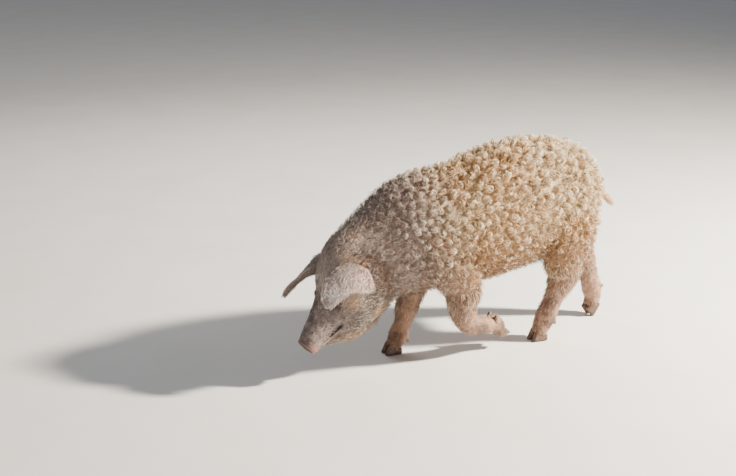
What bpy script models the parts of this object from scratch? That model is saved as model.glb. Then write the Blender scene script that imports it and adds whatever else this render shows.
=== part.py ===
"""A young mangalica pig, life size, walking with its head low, as a still model.

Metres, +Z up. The pig faces -X, its left side is -Y, and it stands on z = 0.
The flesh is modelled whole, from lofted sections, and then parted with thin cuts.
The curly coat is a core half as deep as the coat, with rounded clumps set close on it.
"""

import math
import random
from collections import namedtuple

import bmesh
import bpy
import numpy as np
from mathutils import Matrix, Vector
from mathutils.bvhtree import BVHTree
from mathutils.kdtree import KDTree

# Coat: the clumps' rise over the core, their spacing, and how they are set
CLUMP_RISE = 0.020
CLUMP_COUNT = 158
CLUMP_SPREAD = 0.053
CLUMP_SETTLES = 12
CLUMP_SINK = 0.008
CLUMP_SIDES = 7
CLUMP_BANDS = 4
CLUMP_LEAN = 0.35
CLUMP_OVAL = (1.06, 0.96)
CLUMP_SIZES = (0.90, 1.12)
CLUMP_HEIGHTS = (0.94, 1.00)
CLUMP_TWIST = 0.3
CLUMP_THIN_SIZE = 0.55
CLUMP_HEAD_SIZE = 0.72
CLUMP_LEAST_COAT = 0.45
CLUMP_TRIALS = 20000
BARE_ROUND_EAR = 0.030
BARE_ROUND_TAIL = 0.030
SEED = 7

# Gap that touching nodes keep, and the distance under which points are merged
GAP = 0.0003
MERGE = 0.00005

# Mesh fineness
RING_ANGLES = np.linspace(0, math.tau, 36, endpoint=False)
STEPS = 6
VOXEL = 0.006
SMOOTH_ROUNDS = 10
TRIANGLES = {"head": 1400, "neck": 210, "torso": 720, "leg": 140, "shank": 170}
SMALL_STEP = 0.05

# The head is turned to the pig's left, about an upright axis in the neck
HEAD_TURN = math.radians(8.0)
TURN_PIVOT_X = -0.30
TURN_STARTS_X = -0.22
TURN_FULL_X = -0.42

# A section across the body: its top and bottom point in the pig's middle plane, its half
# width, how much wider it is below than above, and its share of the coat.
Section = namedtuple("Section", "top bottom half_width low_belly coat")

TRUNK = {
    "rump_end": Section((0.546, 0.545), (0.524, 0.440), 0.050, 0.00, 1.0),
    "tail_head": Section((0.527, 0.609), (0.496, 0.385), 0.110, 0.00, 1.0),
    "hip": Section((0.462, 0.675), (0.448, 0.320), 0.152, 0.00, 1.0),
    "loin_rear": Section((0.350, 0.704), (0.350, 0.275), 0.170, 0.03, 1.0),
    "loin": Section((0.215, 0.710), (0.225, 0.255), 0.178, 0.06, 1.0),
    "belly": Section((0.085, 0.687), (0.100, 0.237), 0.182, 0.08, 1.0),
    "heart": Section((-0.020, 0.651), (-0.015, 0.232), 0.176, 0.06, 1.0),
    "withers": Section((-0.125, 0.627), (-0.125, 0.232), 0.166, 0.04, 1.0),
    "neck_base": Section((-0.225, 0.591), (-0.205, 0.234), 0.148, 0.00, 1.0),
    "neck": Section((-0.315, 0.542), (-0.255, 0.218), 0.128, 0.00, 1.0),
    "nape": Section((-0.396, 0.495), (-0.288, 0.182), 0.112, 0.02, 1.0),
    "poll": Section((-0.472, 0.442), (-0.322, 0.158), 0.104, 0.06, 0.5),
    "brow": Section((-0.511, 0.366), (-0.364, 0.147), 0.093, 0.12, 0.15),
    "eyes": Section((-0.518, 0.290), (-0.411, 0.135), 0.070, 0.10, 0.1),
    "bridge": Section((-0.543, 0.230), (-0.462, 0.140), 0.049, 0.04, 0.0),
    "muzzle": Section((-0.570, 0.183), (-0.507, 0.120), 0.038, 0.00, 0.0),
    "snout": Section((-0.590, 0.147), (-0.540, 0.099), 0.035, 0.00, 0.0),
}
EYE_PLACE = 12.82
EYE_ANGLE = math.radians(57)

JAW = {
    "back": Section((-0.375, 0.275), (-0.322, 0.142), 0.066, 0.0, 0.9),
    "angle": Section((-0.410, 0.235), (-0.370, 0.119), 0.064, 0.0, 0.7),
    "cheek": Section((-0.450, 0.190), (-0.420, 0.108), 0.048, 0.0, 0.2),
    "lip": Section((-0.482, 0.160), (-0.460, 0.112), 0.034, 0.0, 0.0),
    "chin": Section((-0.505, 0.135), (-0.493, 0.108), 0.023, 0.0, 0.0),
}

# A section across a limb: its centre, its half depth fore and aft, its half width, and its
# share of the coat.
Joint = namedtuple("Joint", "centre depth width coat")

LIMBS = {
    "leg_front_left": [
        Joint((-0.165, -0.085, 0.485), 0.100, 0.060, 1.0),
        Joint((-0.120, -0.105, 0.385), 0.100, 0.066, 1.0),
        Joint((-0.060, -0.110, 0.305), 0.087, 0.062, 1.0),
        Joint((-0.032, -0.104, 0.250), 0.066, 0.054, 0.7),
        Joint((-0.028, -0.098, 0.195), 0.050, 0.045, 0.1),
        Joint((-0.018, -0.092, 0.145), 0.040, 0.038, 0.0),
        Joint((0.012, -0.086, 0.112), 0.037, 0.035, 0.0),
        Joint((0.055, -0.081, 0.098), 0.030, 0.030, 0.0),
        Joint((0.092, -0.076, 0.092), 0.028, 0.028, 0.0),
        Joint((0.114, -0.071, 0.089), 0.031, 0.032, 0.0),
        Joint((0.130, -0.068, 0.079), 0.027, 0.030, 0.0),
    ],
    "leg_front_right": [
        Joint((-0.165, 0.085, 0.485), 0.100, 0.060, 1.0),
        Joint((-0.135, 0.105, 0.385), 0.100, 0.066, 1.0),
        Joint((-0.105, 0.108, 0.305), 0.086, 0.060, 1.0),
        Joint((-0.100, 0.098, 0.245), 0.062, 0.052, 0.7),
        Joint((-0.120, 0.086, 0.190), 0.046, 0.042, 0.1),
        Joint((-0.142, 0.074, 0.142), 0.037, 0.036, 0.0),
        Joint((-0.162, 0.065, 0.098), 0.029, 0.029, 0.0),
        Joint((-0.180, 0.058, 0.066), 0.032, 0.033, 0.0),
        Joint((-0.194, 0.055, 0.044), 0.028, 0.031, 0.0),
    ],
    "leg_hind_left": [
        Joint((0.400, -0.070, 0.545), 0.120, 0.070, 1.0),
        Joint((0.400, -0.096, 0.445), 0.122, 0.076, 1.0),
        Joint((0.380, -0.106, 0.355), 0.108, 0.069, 1.0),
        Joint((0.374, -0.101, 0.290), 0.082, 0.056, 0.8),
        Joint((0.388, -0.093, 0.242), 0.058, 0.043, 0.3),
        Joint((0.374, -0.086, 0.194), 0.044, 0.036, 0.0),
        Joint((0.350, -0.080, 0.138), 0.032, 0.031, 0.0),
        Joint((0.330, -0.074, 0.086), 0.036, 0.035, 0.0),
        Joint((0.313, -0.071, 0.050), 0.029, 0.032, 0.0),
    ],
    "leg_hind_right": [
        Joint((0.410, 0.070, 0.545), 0.120, 0.070, 1.0),
        Joint((0.432, 0.096, 0.455), 0.118, 0.074, 1.0),
        Joint((0.470, 0.100, 0.380), 0.100, 0.066, 1.0),
        Joint((0.525, 0.092, 0.318), 0.070, 0.052, 0.8),
        Joint((0.578, 0.080, 0.268), 0.048, 0.040, 0.3),
        Joint((0.598, 0.072, 0.212), 0.038, 0.035, 0.0),
        Joint((0.614, 0.066, 0.155), 0.031, 0.031, 0.0),
        Joint((0.628, 0.060, 0.102), 0.035, 0.035, 0.0),
        Joint((0.631, 0.056, 0.066), 0.028, 0.031, 0.0),
    ],
}

# Each foot: how far the toes are tipped down from level, and the claws' own origin, which
# is the middle between the two soles.
Foot = namedtuple("Foot", "pitch fetlock origin")
FEET = {
    "front_left": Foot(math.radians(140), (0.114, -0.071, 0.089), (0.156, -0.066, 0.073)),
    "front_right": Foot(0.0, (-0.180, 0.058, 0.066), (-0.212, 0.055, 0.0)),
    "hind_left": Foot(0.0, (0.330, -0.074, 0.086), (0.296, -0.069, 0.0)),
    "hind_right": Foot(math.radians(62), (0.628, 0.060, 0.102), (0.637, 0.055, 0.0195)),
}
CLAW_LENGTH = 0.056
CLAW_HEIGHT = 0.038
CLAW_WIDTH = 0.027
CLAW_SPREAD = 0.0155
DEWCLAW_LENGTH = 0.030
DEWCLAW_RADIUS = 0.0105
DEWCLAW_SPREAD = 0.020

# An ear's front and rear edges, from the root in the head to the tip, before the head is
# turned, and its cup and thickness along the way. The right ear is held out further.
EAR_EDGES = {
    "left": (
        ((-0.430, -0.028, 0.385), (-0.524, -0.052, 0.366), (-0.559, -0.078, 0.320),
         (-0.566, -0.088, 0.297), (-0.557, -0.095, 0.273)),
        ((-0.385, -0.058, 0.365), (-0.406, -0.105, 0.374), (-0.400, -0.130, 0.310),
         (-0.476, -0.119, 0.309), (-0.546, -0.097, 0.265)),
    ),
    "right": (
        ((-0.430, 0.028, 0.385), (-0.524, 0.052, 0.366), (-0.563, 0.086, 0.318),
         (-0.588, 0.096, 0.290), (-0.593, 0.103, 0.263)),
        ((-0.385, 0.058, 0.365), (-0.406, 0.105, 0.374), (-0.402, 0.130, 0.312),
         (-0.492, 0.122, 0.304), (-0.582, 0.106, 0.256)),
    ),
}
EAR_CUP = (0.016, 0.018, 0.012, 0.008, 0.000)
EAR_THICK = (0.0080, 0.0055, 0.0042, 0.0036, 0.0030)

TAIL = [
    Joint((0.535, 0.000, 0.540), 0.017, 0.017, 0.0),
    Joint((0.568, 0.000, 0.515), 0.014, 0.014, 0.0),
    Joint((0.596, -0.004, 0.484), 0.011, 0.011, 0.0),
    Joint((0.622, -0.008, 0.456), 0.009, 0.009, 0.0),
    Joint((0.644, -0.010, 0.436), 0.007, 0.007, 0.0),
]

# Planes that part the head from the neck, and the neck from the torso: a point, and the
# direction that faces the head.
Plane = namedtuple("Plane", "point facing")
HEAD_PLANE = Plane((-0.345, 0.0, 0.330), (-0.946, 0.0, -0.324))
NECK_PLANE = Plane((-0.215, 0.0, 0.410), (-0.998, 0.0, -0.056))

# Space that a leg takes below the trunk: its ends along X, and the slanted line from the
# inner to the outer side, each as distance from the middle plane and height.
LegRoom = namedtuple("LegRoom", "front back inner outer")
LEG_ROOMS = {
    "leg_front_left": LegRoom(-0.165, 0.260, (0.030, 0.222), (0.200, 0.333)),
    "leg_front_right": LegRoom(-0.300, 0.020, (0.030, 0.222), (0.200, 0.333)),
    "leg_hind_left": LegRoom(0.262, 0.560, (0.030, 0.258), (0.190, 0.385)),
    "leg_hind_right": LegRoom(0.330, 0.800, (0.030, 0.300), (0.190, 0.440)),
}
ROOM_INNER_EDGE = 0.015
ROOM_OUTER_EDGE = 0.260
OVERLAP = 0.012
FAR = 3.0

# Head: snout disc, nostrils, mouth, lips and lids
SNOUT_RADIUS = 0.0350
SNOUT_SQUASH = 0.92
SNOUT_THICKNESS = 0.028
SNOUT_AHEAD = 0.013
NOSTRIL_APART = 0.0130
NOSTRIL_RAISE = 0.003
NOSTRIL_SIZE = (0.0050, 0.0070, 0.0120)
MOUTH_FRONT = (-0.570, 0.083)
MOUTH_CORNER = (-0.478, 0.181)
MOUTH_OPEN = 0.0020
LIP_RADIUS = 0.0055
LIP_SINK = 0.0030
EYE_RADIUS = 0.0122
EYE_DEPTH = 0.0075
LID_THICKNESS = 0.0030
LID_OPENING = (0.0095, 0.0042, 0.0080)

SHANK_PLACE = 4.0
EAR_POINTS = 7
EAR_ROWS = 9
EAR_EDGE = 0.0014
TAIL_ANGLES = np.linspace(0, math.tau, 10, endpoint=False)
TAIL_ROWS = 11
EYE_SIDES = 12
EYE_BANDS = 8
SNOUT_RIM = 0.0045
LIP_FRONT = (-0.536, 0.119)
LIP_ROWS = 9
LIP_SIDES = 7
MOUTH_REACH = 0.080
CLAW_TOE_WIDTH = 0.62
CLAW_TOE_INWARD = 0.0015
CLAW_WALL_SLOPE = 0.020
CLAW_HEEL_HEIGHT = 0.58
CLAW_ROUND = 0.0045
DEWCLAW_TIP = 0.0050
FOOT_END_PLACE = (0.006, 0.0, 0.024)
FOOT_END_DEPTH = 0.022
FOOT_END_WIDTH = 0.029
DEWCLAW_PLACE = (0.019, 0.0, -0.016)
DEWCLAW_DIRECTION = (0.45, 0.0, -0.89)

# The way the coat lies on the body and on the legs, and where one gives way to the other
BODY_LIE = (0.85, 0.0, -0.50)
LEG_LIE = (0.15, 0.0, -1.0)
LEG_COAT_TOP = 0.36
LEG_COAT_FADE = 0.10

# Linear colours and roughness
MATERIALS = {
    "coat": ((0.62, 0.47, 0.31), 0.85),
    "skin": ((0.42, 0.30, 0.24), 0.70),
    "ear": ((0.50, 0.38, 0.32), 0.75),
    "eye": ((0.03, 0.02, 0.015), 0.15),
    "claw": ((0.10, 0.07, 0.05), 0.50),
}


def clear_scene():
    for thing in list(bpy.data.objects):
        bpy.data.objects.remove(thing, do_unlink=True)


def along(values, place):
    """A smooth curve through a list of values, read at a place such as 2.5."""
    values = np.asarray(values, dtype=float)
    last = len(values) - 1
    index = min(int(place), last - 1)
    share = place - index
    before = values[max(index - 1, 0)]
    start = values[index]
    end = values[index + 1]
    after = values[min(index + 2, last)]
    bend = 2 * before - 5 * start + 4 * end - after
    twist = 3 * start - before - 3 * end + after
    return start + 0.5 * ((end - before) * share + bend * share ** 2 + twist * share ** 3)


def places(count):
    """Places to read a curve through a number of stations."""
    return np.linspace(0, count - 1, (count - 1) * STEPS + 1)


def turned(points):
    """Points of the neck and head, with the head turned to its side."""
    points = np.array(points, dtype=float)
    share = np.clip((TURN_STARTS_X - points[..., 0]) / (TURN_STARTS_X - TURN_FULL_X), 0, 1)
    angle = HEAD_TURN * share ** 2 * (3 - 2 * share)
    x = points[..., 0] - TURN_PIVOT_X
    y = points[..., 1].copy()
    points[..., 0] = TURN_PIVOT_X + np.cos(angle) * x - np.sin(angle) * y
    points[..., 1] = np.sin(angle) * x + np.cos(angle) * y
    return points


def body_ring(sections, place, inset, angles=RING_ANGLES):
    """One ring of the trunk or jaw, with its share of the coat."""
    stations = list(sections.values())
    top = along([s.top for s in stations], place)
    bottom = along([s.bottom for s in stations], place)
    half_width = along([s.half_width for s in stations], place)
    low_belly = along([s.low_belly for s in stations], place)
    coat = along([s.coat for s in stations], place)
    middle = (top + bottom) / 2
    rise = (top - bottom) / 2
    height = np.linalg.norm(rise)
    drawn_in = inset * coat
    upward = (1 - drawn_in / height) * np.cos(angles)
    sideways = (half_width - drawn_in) * np.sin(angles) * (1 - low_belly * np.cos(angles))
    ring = np.stack([middle[0] + rise[0] * upward, sideways, middle[1] + rise[1] * upward], axis=1)
    return turned(ring), coat


def limb_ring(joints, place, inset, angles=RING_ANGLES):
    """One ring of a limb or the tail, square to its line, with its share of the coat."""
    last = len(joints) - 1
    centres = [j.centre for j in joints]
    centre = along(centres, place)
    ahead = along(centres, min(place + SMALL_STEP, last)) - along(centres, max(place - SMALL_STEP, 0))
    ahead /= np.linalg.norm(ahead)
    aside = np.array([0.0, 1.0, 0.0]) - ahead[1] * ahead
    aside /= np.linalg.norm(aside)
    fore = np.cross(aside, ahead)
    coat = along([j.coat for j in joints], place)
    depth = along([j.depth for j in joints], place) - inset * coat
    width = along([j.width for j in joints], place) - inset * coat
    ring = centre + np.outer(depth * np.cos(angles), fore) + np.outer(width * np.sin(angles), aside)
    return ring, coat


def mesh_object(name, vertices, faces):
    mesh = bpy.data.meshes.new(name)
    mesh.from_pydata([tuple(v) for v in vertices], [], faces)
    shape = bmesh.new()
    shape.from_mesh(mesh)
    bmesh.ops.recalc_face_normals(shape, faces=shape.faces)
    shape.to_mesh(mesh)
    shape.free()
    thing = bpy.data.objects.new(name, mesh)
    bpy.context.scene.collection.objects.link(thing)
    return thing


def loft(name, rings):
    """A closed skin over a row of rings that have as many points each."""
    count = len(rings[0])
    faces = []
    for row in range(len(rings) - 1):
        for i in range(count):
            j = (i + 1) % count
            faces.append((row * count + i, row * count + j, (row + 1) * count + j, (row + 1) * count + i))
    faces.append(tuple(range(count)))
    faces.append(tuple(range((len(rings) - 1) * count, len(rings) * count)))
    return mesh_object(name, np.concatenate(rings), faces)


def apply_modifiers(thing):
    graph = bpy.context.evaluated_depsgraph_get()
    mesh = bpy.data.meshes.new_from_object(thing.evaluated_get(graph))
    thing.modifiers.clear()
    old = thing.data
    thing.data = mesh
    bpy.data.meshes.remove(old)


def remove(things):
    for thing in things:
        bpy.data.objects.remove(thing, do_unlink=True)


def copy(thing, name):
    twin = bpy.data.objects.new(name, thing.data.copy())
    twin.matrix_world = thing.matrix_world
    bpy.context.scene.collection.objects.link(twin)
    return twin


def combine(thing, operation, tools, keep_tools=False):
    """Join closed shapes to a thing, or cut it with them.

    The solver is the manifold one, because the exact one is slow on this many crossings.
    """
    group = bpy.data.collections.new("tools")
    for tool in tools:
        group.objects.link(tool)
    change = thing.modifiers.new(operation, "BOOLEAN")
    change.operation = operation
    change.operand_type = "COLLECTION"
    change.collection = group
    change.solver = "MANIFOLD"
    apply_modifiers(thing)
    bpy.data.collections.remove(group)
    if not keep_tools:
        remove(tools)


def largest_surface(thing):
    """Keep only the largest closed surface of a thing, in triangles."""
    shape = bmesh.new()
    shape.from_mesh(thing.data)
    bmesh.ops.remove_doubles(shape, verts=shape.verts, dist=MERGE)
    bmesh.ops.dissolve_degenerate(shape, edges=shape.edges, dist=MERGE)
    bmesh.ops.triangulate(shape, faces=shape.faces)
    waiting = set(shape.faces)
    surfaces = []
    while waiting:
        reached = {waiting.pop()}
        edge_of_reach = list(reached)
        while edge_of_reach:
            face = edge_of_reach.pop()
            for edge in face.edges:
                for neighbour in edge.link_faces:
                    if neighbour in waiting:
                        waiting.discard(neighbour)
                        reached.add(neighbour)
                        edge_of_reach.append(neighbour)
        surfaces.append(reached)
    surfaces.sort(key=lambda faces: sum(f.calc_area() for f in faces))
    for faces in surfaces[:-1]:
        bmesh.ops.delete(shape, geom=list(faces), context="FACES")
    shape.to_mesh(thing.data)
    shape.free()


def foot_turn(foot):
    """The place and tip of a foot: its toes point to -X and its soles are level at first."""
    return Matrix.Translation(foot.origin) @ Matrix.Rotation(-foot.pitch, 4, "Y")


def foot_end(foot):
    """The lowest section of a leg, between its claws."""
    return Joint(tuple(foot_turn(foot) @ Vector(FOOT_END_PLACE)), FOOT_END_DEPTH, FOOT_END_WIDTH, 0.0)


def flesh(inset):
    """The whole body without ears, tail and claws, in one skin."""
    lofts = []
    for name, sections in (("trunk", TRUNK), ("jaw", JAW)):
        rings = [body_ring(sections, place, inset)[0] for place in places(len(sections))]
        lofts.append(loft(name, rings))
    for name, joints in LIMBS.items():
        joints = joints + [foot_end(FEET[name.removeprefix("leg_")])]
        rings = [limb_ring(joints, place, inset)[0] for place in places(len(joints))]
        lofts.append(loft(name, rings))
    body = lofts[0]
    body.name = "flesh"
    shape = bmesh.new()
    for thing in lofts:
        shape.from_mesh(thing.data)
    shape.to_mesh(body.data)
    shape.free()
    remove(lofts[1:])
    remesh = body.modifiers.new("remesh", "REMESH")
    remesh.mode = "VOXEL"
    remesh.voxel_size = VOXEL
    smooth = body.modifiers.new("smooth", "SMOOTH")
    smooth.iterations = SMOOTH_ROUNDS
    apply_modifiers(body)
    return body


def turn_towards(direction, roll_guide):
    """A turn that takes Z to a direction, and X as near as it can to a guide."""
    up = Vector(direction).normalized()
    ahead = Vector(roll_guide)
    ahead = (ahead - up * ahead.dot(up)).normalized()
    return Matrix((ahead, up.cross(ahead), up)).transposed().to_4x4()


def ball(name, centre, half_sizes, turn, sides, bands):
    bpy.ops.mesh.primitive_uv_sphere_add(segments=sides, ring_count=bands, radius=1.0)
    thing = bpy.context.object
    thing.name = name
    size = Matrix.Diagonal((*half_sizes, 1.0))
    thing.data.transform(Matrix.Translation(centre) @ turn @ size)
    return thing


def box(name, low, high):
    bpy.ops.mesh.primitive_cube_add(size=1.0)
    thing = bpy.context.object
    thing.name = name
    low, high = Vector(low), Vector(high)
    size = Matrix.Diagonal((*(high - low), 1.0))
    thing.data.transform(Matrix.Translation((low + high) / 2) @ size)
    return thing


def half_space(plane, moved=0.0):
    """A large box on the facing side of a plane, which is moved that way by a distance."""
    facing = Vector(plane.facing).normalized()
    thing = box("half_space", (-FAR, -FAR, 0), (FAR, FAR, FAR))
    point = Vector(plane.point) + facing * moved
    thing.data.transform(Matrix.Translation(point) @ turn_towards(facing, (0, 1, 0)))
    return thing


def leg_room(name, grown=0.0):
    """The slanted prism of space that a leg takes, grown by a distance."""
    room = LEG_ROOMS[name]
    side = -1 if name.endswith("left") else 1
    (inner, inner_z), (outer, outer_z) = room.inner, room.outer
    slope = (outer_z - inner_z) / (outer - inner)
    lift = grown * math.sqrt(1 + slope ** 2)
    thing = box(
        name + "_room",
        (room.front - grown, ROOM_INNER_EDGE - grown, -FAR),
        (room.back + grown, ROOM_OUTER_EDGE + grown, FAR),
    )
    for vertex in thing.data.vertices:
        if vertex.co.z > 0:
            vertex.co.z = inner_z + slope * (vertex.co.y - inner) + lift
    if side < 0:
        thing.data.transform(Matrix.Diagonal((1, -1, 1, 1)))
        thing.data.flip_normals()
    return thing


def shank_plane(leg):
    """The plane across a leg at the top of its shank, facing the foot."""
    centres = [joint.centre for joint in LIMBS[leg]]
    ahead = along(centres, SHANK_PLACE + SMALL_STEP) - along(centres, SHANK_PLACE - SMALL_STEP)
    return Plane(along(centres, SHANK_PLACE), ahead)


def cut_to_region(thing, region, grown):
    """Cut the flesh to one region, which is grown by a distance."""
    part, _, leg = region.partition("_")
    if part in ("leg", "shank"):
        leg = "leg_" + leg
        combine(thing, "INTERSECT", [leg_room(leg, grown)])
        if part == "leg":
            combine(thing, "DIFFERENCE", [half_space(shank_plane(leg), grown)])
        else:
            combine(thing, "INTERSECT", [half_space(shank_plane(leg), -grown)])
        return
    if region == "head":
        combine(thing, "INTERSECT", [half_space(HEAD_PLANE, -grown)])
        return
    cutters = [leg_room(name, -grown) for name in LEG_ROOMS]
    if region == "neck":
        cutters.append(half_space(HEAD_PLANE, grown))
        combine(thing, "INTERSECT", [half_space(NECK_PLANE, -grown)])
    else:
        cutters.append(half_space(NECK_PLANE, grown))
    combine(thing, "DIFFERENCE", cutters)


def reduce_triangles(thing, count):
    remesh = thing.modifiers.new("remesh", "REMESH")
    remesh.mode = "VOXEL"
    remesh.voxel_size = VOXEL
    apply_modifiers(thing)
    triangles = sum(len(p.vertices) - 2 for p in thing.data.polygons)
    fewer = thing.modifiers.new("fewer", "DECIMATE")
    fewer.ratio = count / triangles
    apply_modifiers(thing)


def coat_map():
    """A way to look up the coat's share at a point of the body."""
    spots = []
    for sections in (TRUNK, JAW):
        for place in places(len(sections)):
            ring, coat = body_ring(sections, place, 0)
            spots.extend((point, coat) for point in ring)
    for joints in LIMBS.values():
        for place in places(len(joints)):
            ring, coat = limb_ring(joints, place, 0)
            spots.extend((point, coat) for point in ring)
    tree = KDTree(len(spots))
    for index, (point, _) in enumerate(spots):
        tree.insert(point, index)
    tree.balance()
    return lambda point: spots[tree.find(point)[1]][1]


def spread_spots(body, count, allowed):
    """Spots spread evenly on a skin, each as a point and its outward direction.

    Each new spot is the one that is farthest from all others. Then every spot moves, a few
    times, to the middle of the part of the skin that is nearest to it.
    """
    mesh = body.data
    mesh.calc_loop_triangles()
    corners = np.array([[mesh.vertices[v].co for v in t.vertices] for t in mesh.loop_triangles])
    across = np.cross(corners[:, 1] - corners[:, 0], corners[:, 2] - corners[:, 0])
    areas = np.linalg.norm(across, axis=1)
    rng = np.random.default_rng(SEED)
    picks = rng.choice(len(areas), CLUMP_TRIALS, p=areas / areas.sum())
    mix = rng.dirichlet((1, 1, 1), CLUMP_TRIALS)
    points = np.einsum("ij,ijk->ik", mix, corners[picks])
    facings = across[picks] / areas[picks, None]
    fit = np.array([allowed(point) for point in points])
    points, facings = points[fit], facings[fit]
    chosen = [0]
    reach = np.linalg.norm(points - points[0], axis=1)
    while len(chosen) < count:
        chosen.append(int(np.argmax(reach)))
        reach = np.minimum(reach, np.linalg.norm(points - points[chosen[-1]], axis=1))
    for _ in range(CLUMP_SETTLES):
        distances = np.linalg.norm(points[:, None] - points[None, chosen], axis=2)
        nearest = np.argmin(distances, axis=1)
        for index in range(count):
            part = np.nonzero(nearest == index)[0]
            offsets = np.linalg.norm(points[part] - points[part].mean(axis=0), axis=1)
            chosen[index] = int(part[np.argmin(offsets)])
    return [(Vector(points[i]), Vector(facings[i])) for i in chosen]


def lie_of_coat(point):
    """The way the coat lies: backward and down on the body, down on the legs."""
    on_leg = min(max((LEG_COAT_TOP - point.z) / LEG_COAT_FADE, 0), 1)
    return Vector(BODY_LIE).lerp(Vector(LEG_LIE), on_leg).normalized()


def clump(point, facing, coat, draw):
    """One rounded clump of curls, a low dome that leans the way the coat lies."""
    size = draw.uniform(*CLUMP_SIZES) * (CLUMP_THIN_SIZE + (1 - CLUMP_THIN_SIZE) * coat)
    if (point - Vector(HEAD_PLANE.point)).dot(Vector(HEAD_PLANE.facing)) > 0:
        size *= CLUMP_HEAD_SIZE
    spread = CLUMP_SPREAD * size
    rise = CLUMP_RISE * coat * draw.uniform(*CLUMP_HEIGHTS) + CLUMP_SINK
    twist = Matrix.Rotation(draw.uniform(-CLUMP_TWIST, CLUMP_TWIST), 4, "Z")
    turn = turn_towards(facing, lie_of_coat(point)) @ twist
    centre = point - facing * CLUMP_SINK
    lean = Matrix.Identity(4)
    lean[0][2] = CLUMP_LEAN
    half_sizes = Matrix.Diagonal((spread * CLUMP_OVAL[0], spread * CLUMP_OVAL[1], rise, 1.0))
    bpy.ops.mesh.primitive_uv_sphere_add(segments=CLUMP_SIDES, ring_count=CLUMP_BANDS, radius=1.0)
    thing = bpy.context.object
    thing.data.transform(Matrix.Translation(centre) @ turn @ lean @ half_sizes)
    return thing


def near_any(point, stations, distance):
    return any((Vector(station) - Vector(point)).length < distance for station in stations)


def make_clumps(body):
    """Clumps all over the coat, but not round the roots of the ears and tail."""
    coat_at = coat_map()
    ears = []
    for side in EAR_EDGES:
        for edge in EAR_EDGES[side]:
            ears += [turned(along(edge, place)) for place in np.linspace(0, len(edge) - 1, EAR_ROWS)]
    tail = [joint.centre for joint in TAIL]

    def allowed(point):
        if coat_at(point) < CLUMP_LEAST_COAT:
            return False
        if near_any(point, ears, BARE_ROUND_EAR):
            return False
        return not near_any(point, tail, BARE_ROUND_TAIL)

    draw = random.Random(SEED)
    clumps = []
    for point, facing in spread_spots(body, CLUMP_COUNT, allowed):
        clumps.append((point, clump(point, facing, coat_at(point), draw)))
    return clumps


def ear(side):
    """A cupped leaf that tapers to its tip: a row of crescent rings."""
    front_edge, rear_edge = EAR_EDGES[side]
    middle = (np.array(front_edge) + np.array(rear_edge)) / 2
    outer_side = 1 if side == "left" else -1
    spans = np.linspace(-1, 1, EAR_POINTS)
    last = len(middle) - 1
    rings = []
    for place in np.linspace(0, last, EAR_ROWS):
        ahead = along(middle, min(place + SMALL_STEP, last)) - along(middle, max(place - SMALL_STEP, 0))
        across = (along(rear_edge, place) - along(front_edge, place)) / 2
        outward = np.cross(ahead, across) * outer_side
        outward /= np.linalg.norm(outward)
        cup = along(EAR_CUP, place)
        edge = EAR_EDGE / 2
        leaf = along(middle, place) + np.outer(spans, across) + np.outer(cup * (0.5 - spans ** 2), outward)
        depth = edge + (along(EAR_THICK, place) / 2 - edge) * (1 - spans ** 2)
        outer = leaf + np.outer(depth, outward)
        inner = leaf - np.outer(depth, outward)
        rings.append(turned(np.concatenate([outer, inner[::-1]])))
    thing = loft("ear_" + side, rings)
    shape = bmesh.new()
    shape.from_mesh(thing.data)
    bmesh.ops.triangulate(shape, faces=shape.faces)
    shape.to_mesh(thing.data)
    shape.free()
    return thing


def grown(thing, distance=GAP):
    """A copy that is larger all round, to cut the pocket that the thing sits in."""
    twin = copy(thing, thing.name + "_pocket")
    shape = bmesh.new()
    shape.from_mesh(twin.data)
    shape.normal_update()
    moves = [vertex.normal * vertex.calc_shell_factor() * distance for vertex in shape.verts]
    for vertex, move in zip(shape.verts, moves):
        vertex.co += move
    shape.to_mesh(twin.data)
    shape.free()
    return twin


def side_of_head(body_tree, x, z, side):
    """The point of the head's side at a place in side view, before the head is turned."""
    start = Vector(turned((x, side * FAR, z)))
    end = Vector(turned((x, 0, z)))
    hit = body_tree.ray_cast(start, (end - start).normalized())[0]
    return hit, (start - end).normalized()


def lips(head):
    """A raised rim along both sides of the mouth, tapered to its ends."""
    tree = BVHTree.FromObject(head, bpy.context.evaluated_depsgraph_get())
    rims = []
    for side in (-1, 1):
        rings = []
        for share in np.linspace(0, 1, LIP_ROWS):
            x = LIP_FRONT[0] + (MOUTH_CORNER[0] - LIP_FRONT[0]) * share
            z = LIP_FRONT[1] + (MOUTH_CORNER[1] - LIP_FRONT[1]) * share
            hit, outward = side_of_head(tree, x, z, side)
            radius = LIP_RADIUS * math.sqrt(math.sin(math.pi * (0.08 + 0.84 * share)))
            line = Vector((MOUTH_CORNER[0] - LIP_FRONT[0], 0, MOUTH_CORNER[1] - LIP_FRONT[1]))
            turn = turn_towards(line, outward)
            angles = np.linspace(0, math.tau, LIP_SIDES, endpoint=False)
            centre = hit - outward * LIP_SINK
            ring = [centre + turn @ Vector((math.cos(a) * radius, math.sin(a) * radius, 0)) for a in angles]
            rings.append(np.array(ring))
        rims.append(loft("lip", rings))
    return rims


def mouth_slit():
    """A thin slab along the mouth line, from past the snout to the corners."""
    front = Vector((MOUTH_FRONT[0], 0, MOUTH_FRONT[1]))
    corner = Vector((MOUTH_CORNER[0], 0, MOUTH_CORNER[1]))
    length = (corner - front).length
    slab = box("mouth", (-length, -MOUTH_REACH, -MOUTH_OPEN / 2), (0, MOUTH_REACH, MOUTH_OPEN / 2))
    angle = math.atan2(corner.z - front.z, corner.x - front.x)
    slab.data.transform(Matrix.Translation(corner) @ Matrix.Rotation(-angle, 4, "Y"))
    for vertex in slab.data.vertices:
        vertex.co = turned(vertex.co)
    return slab


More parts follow.
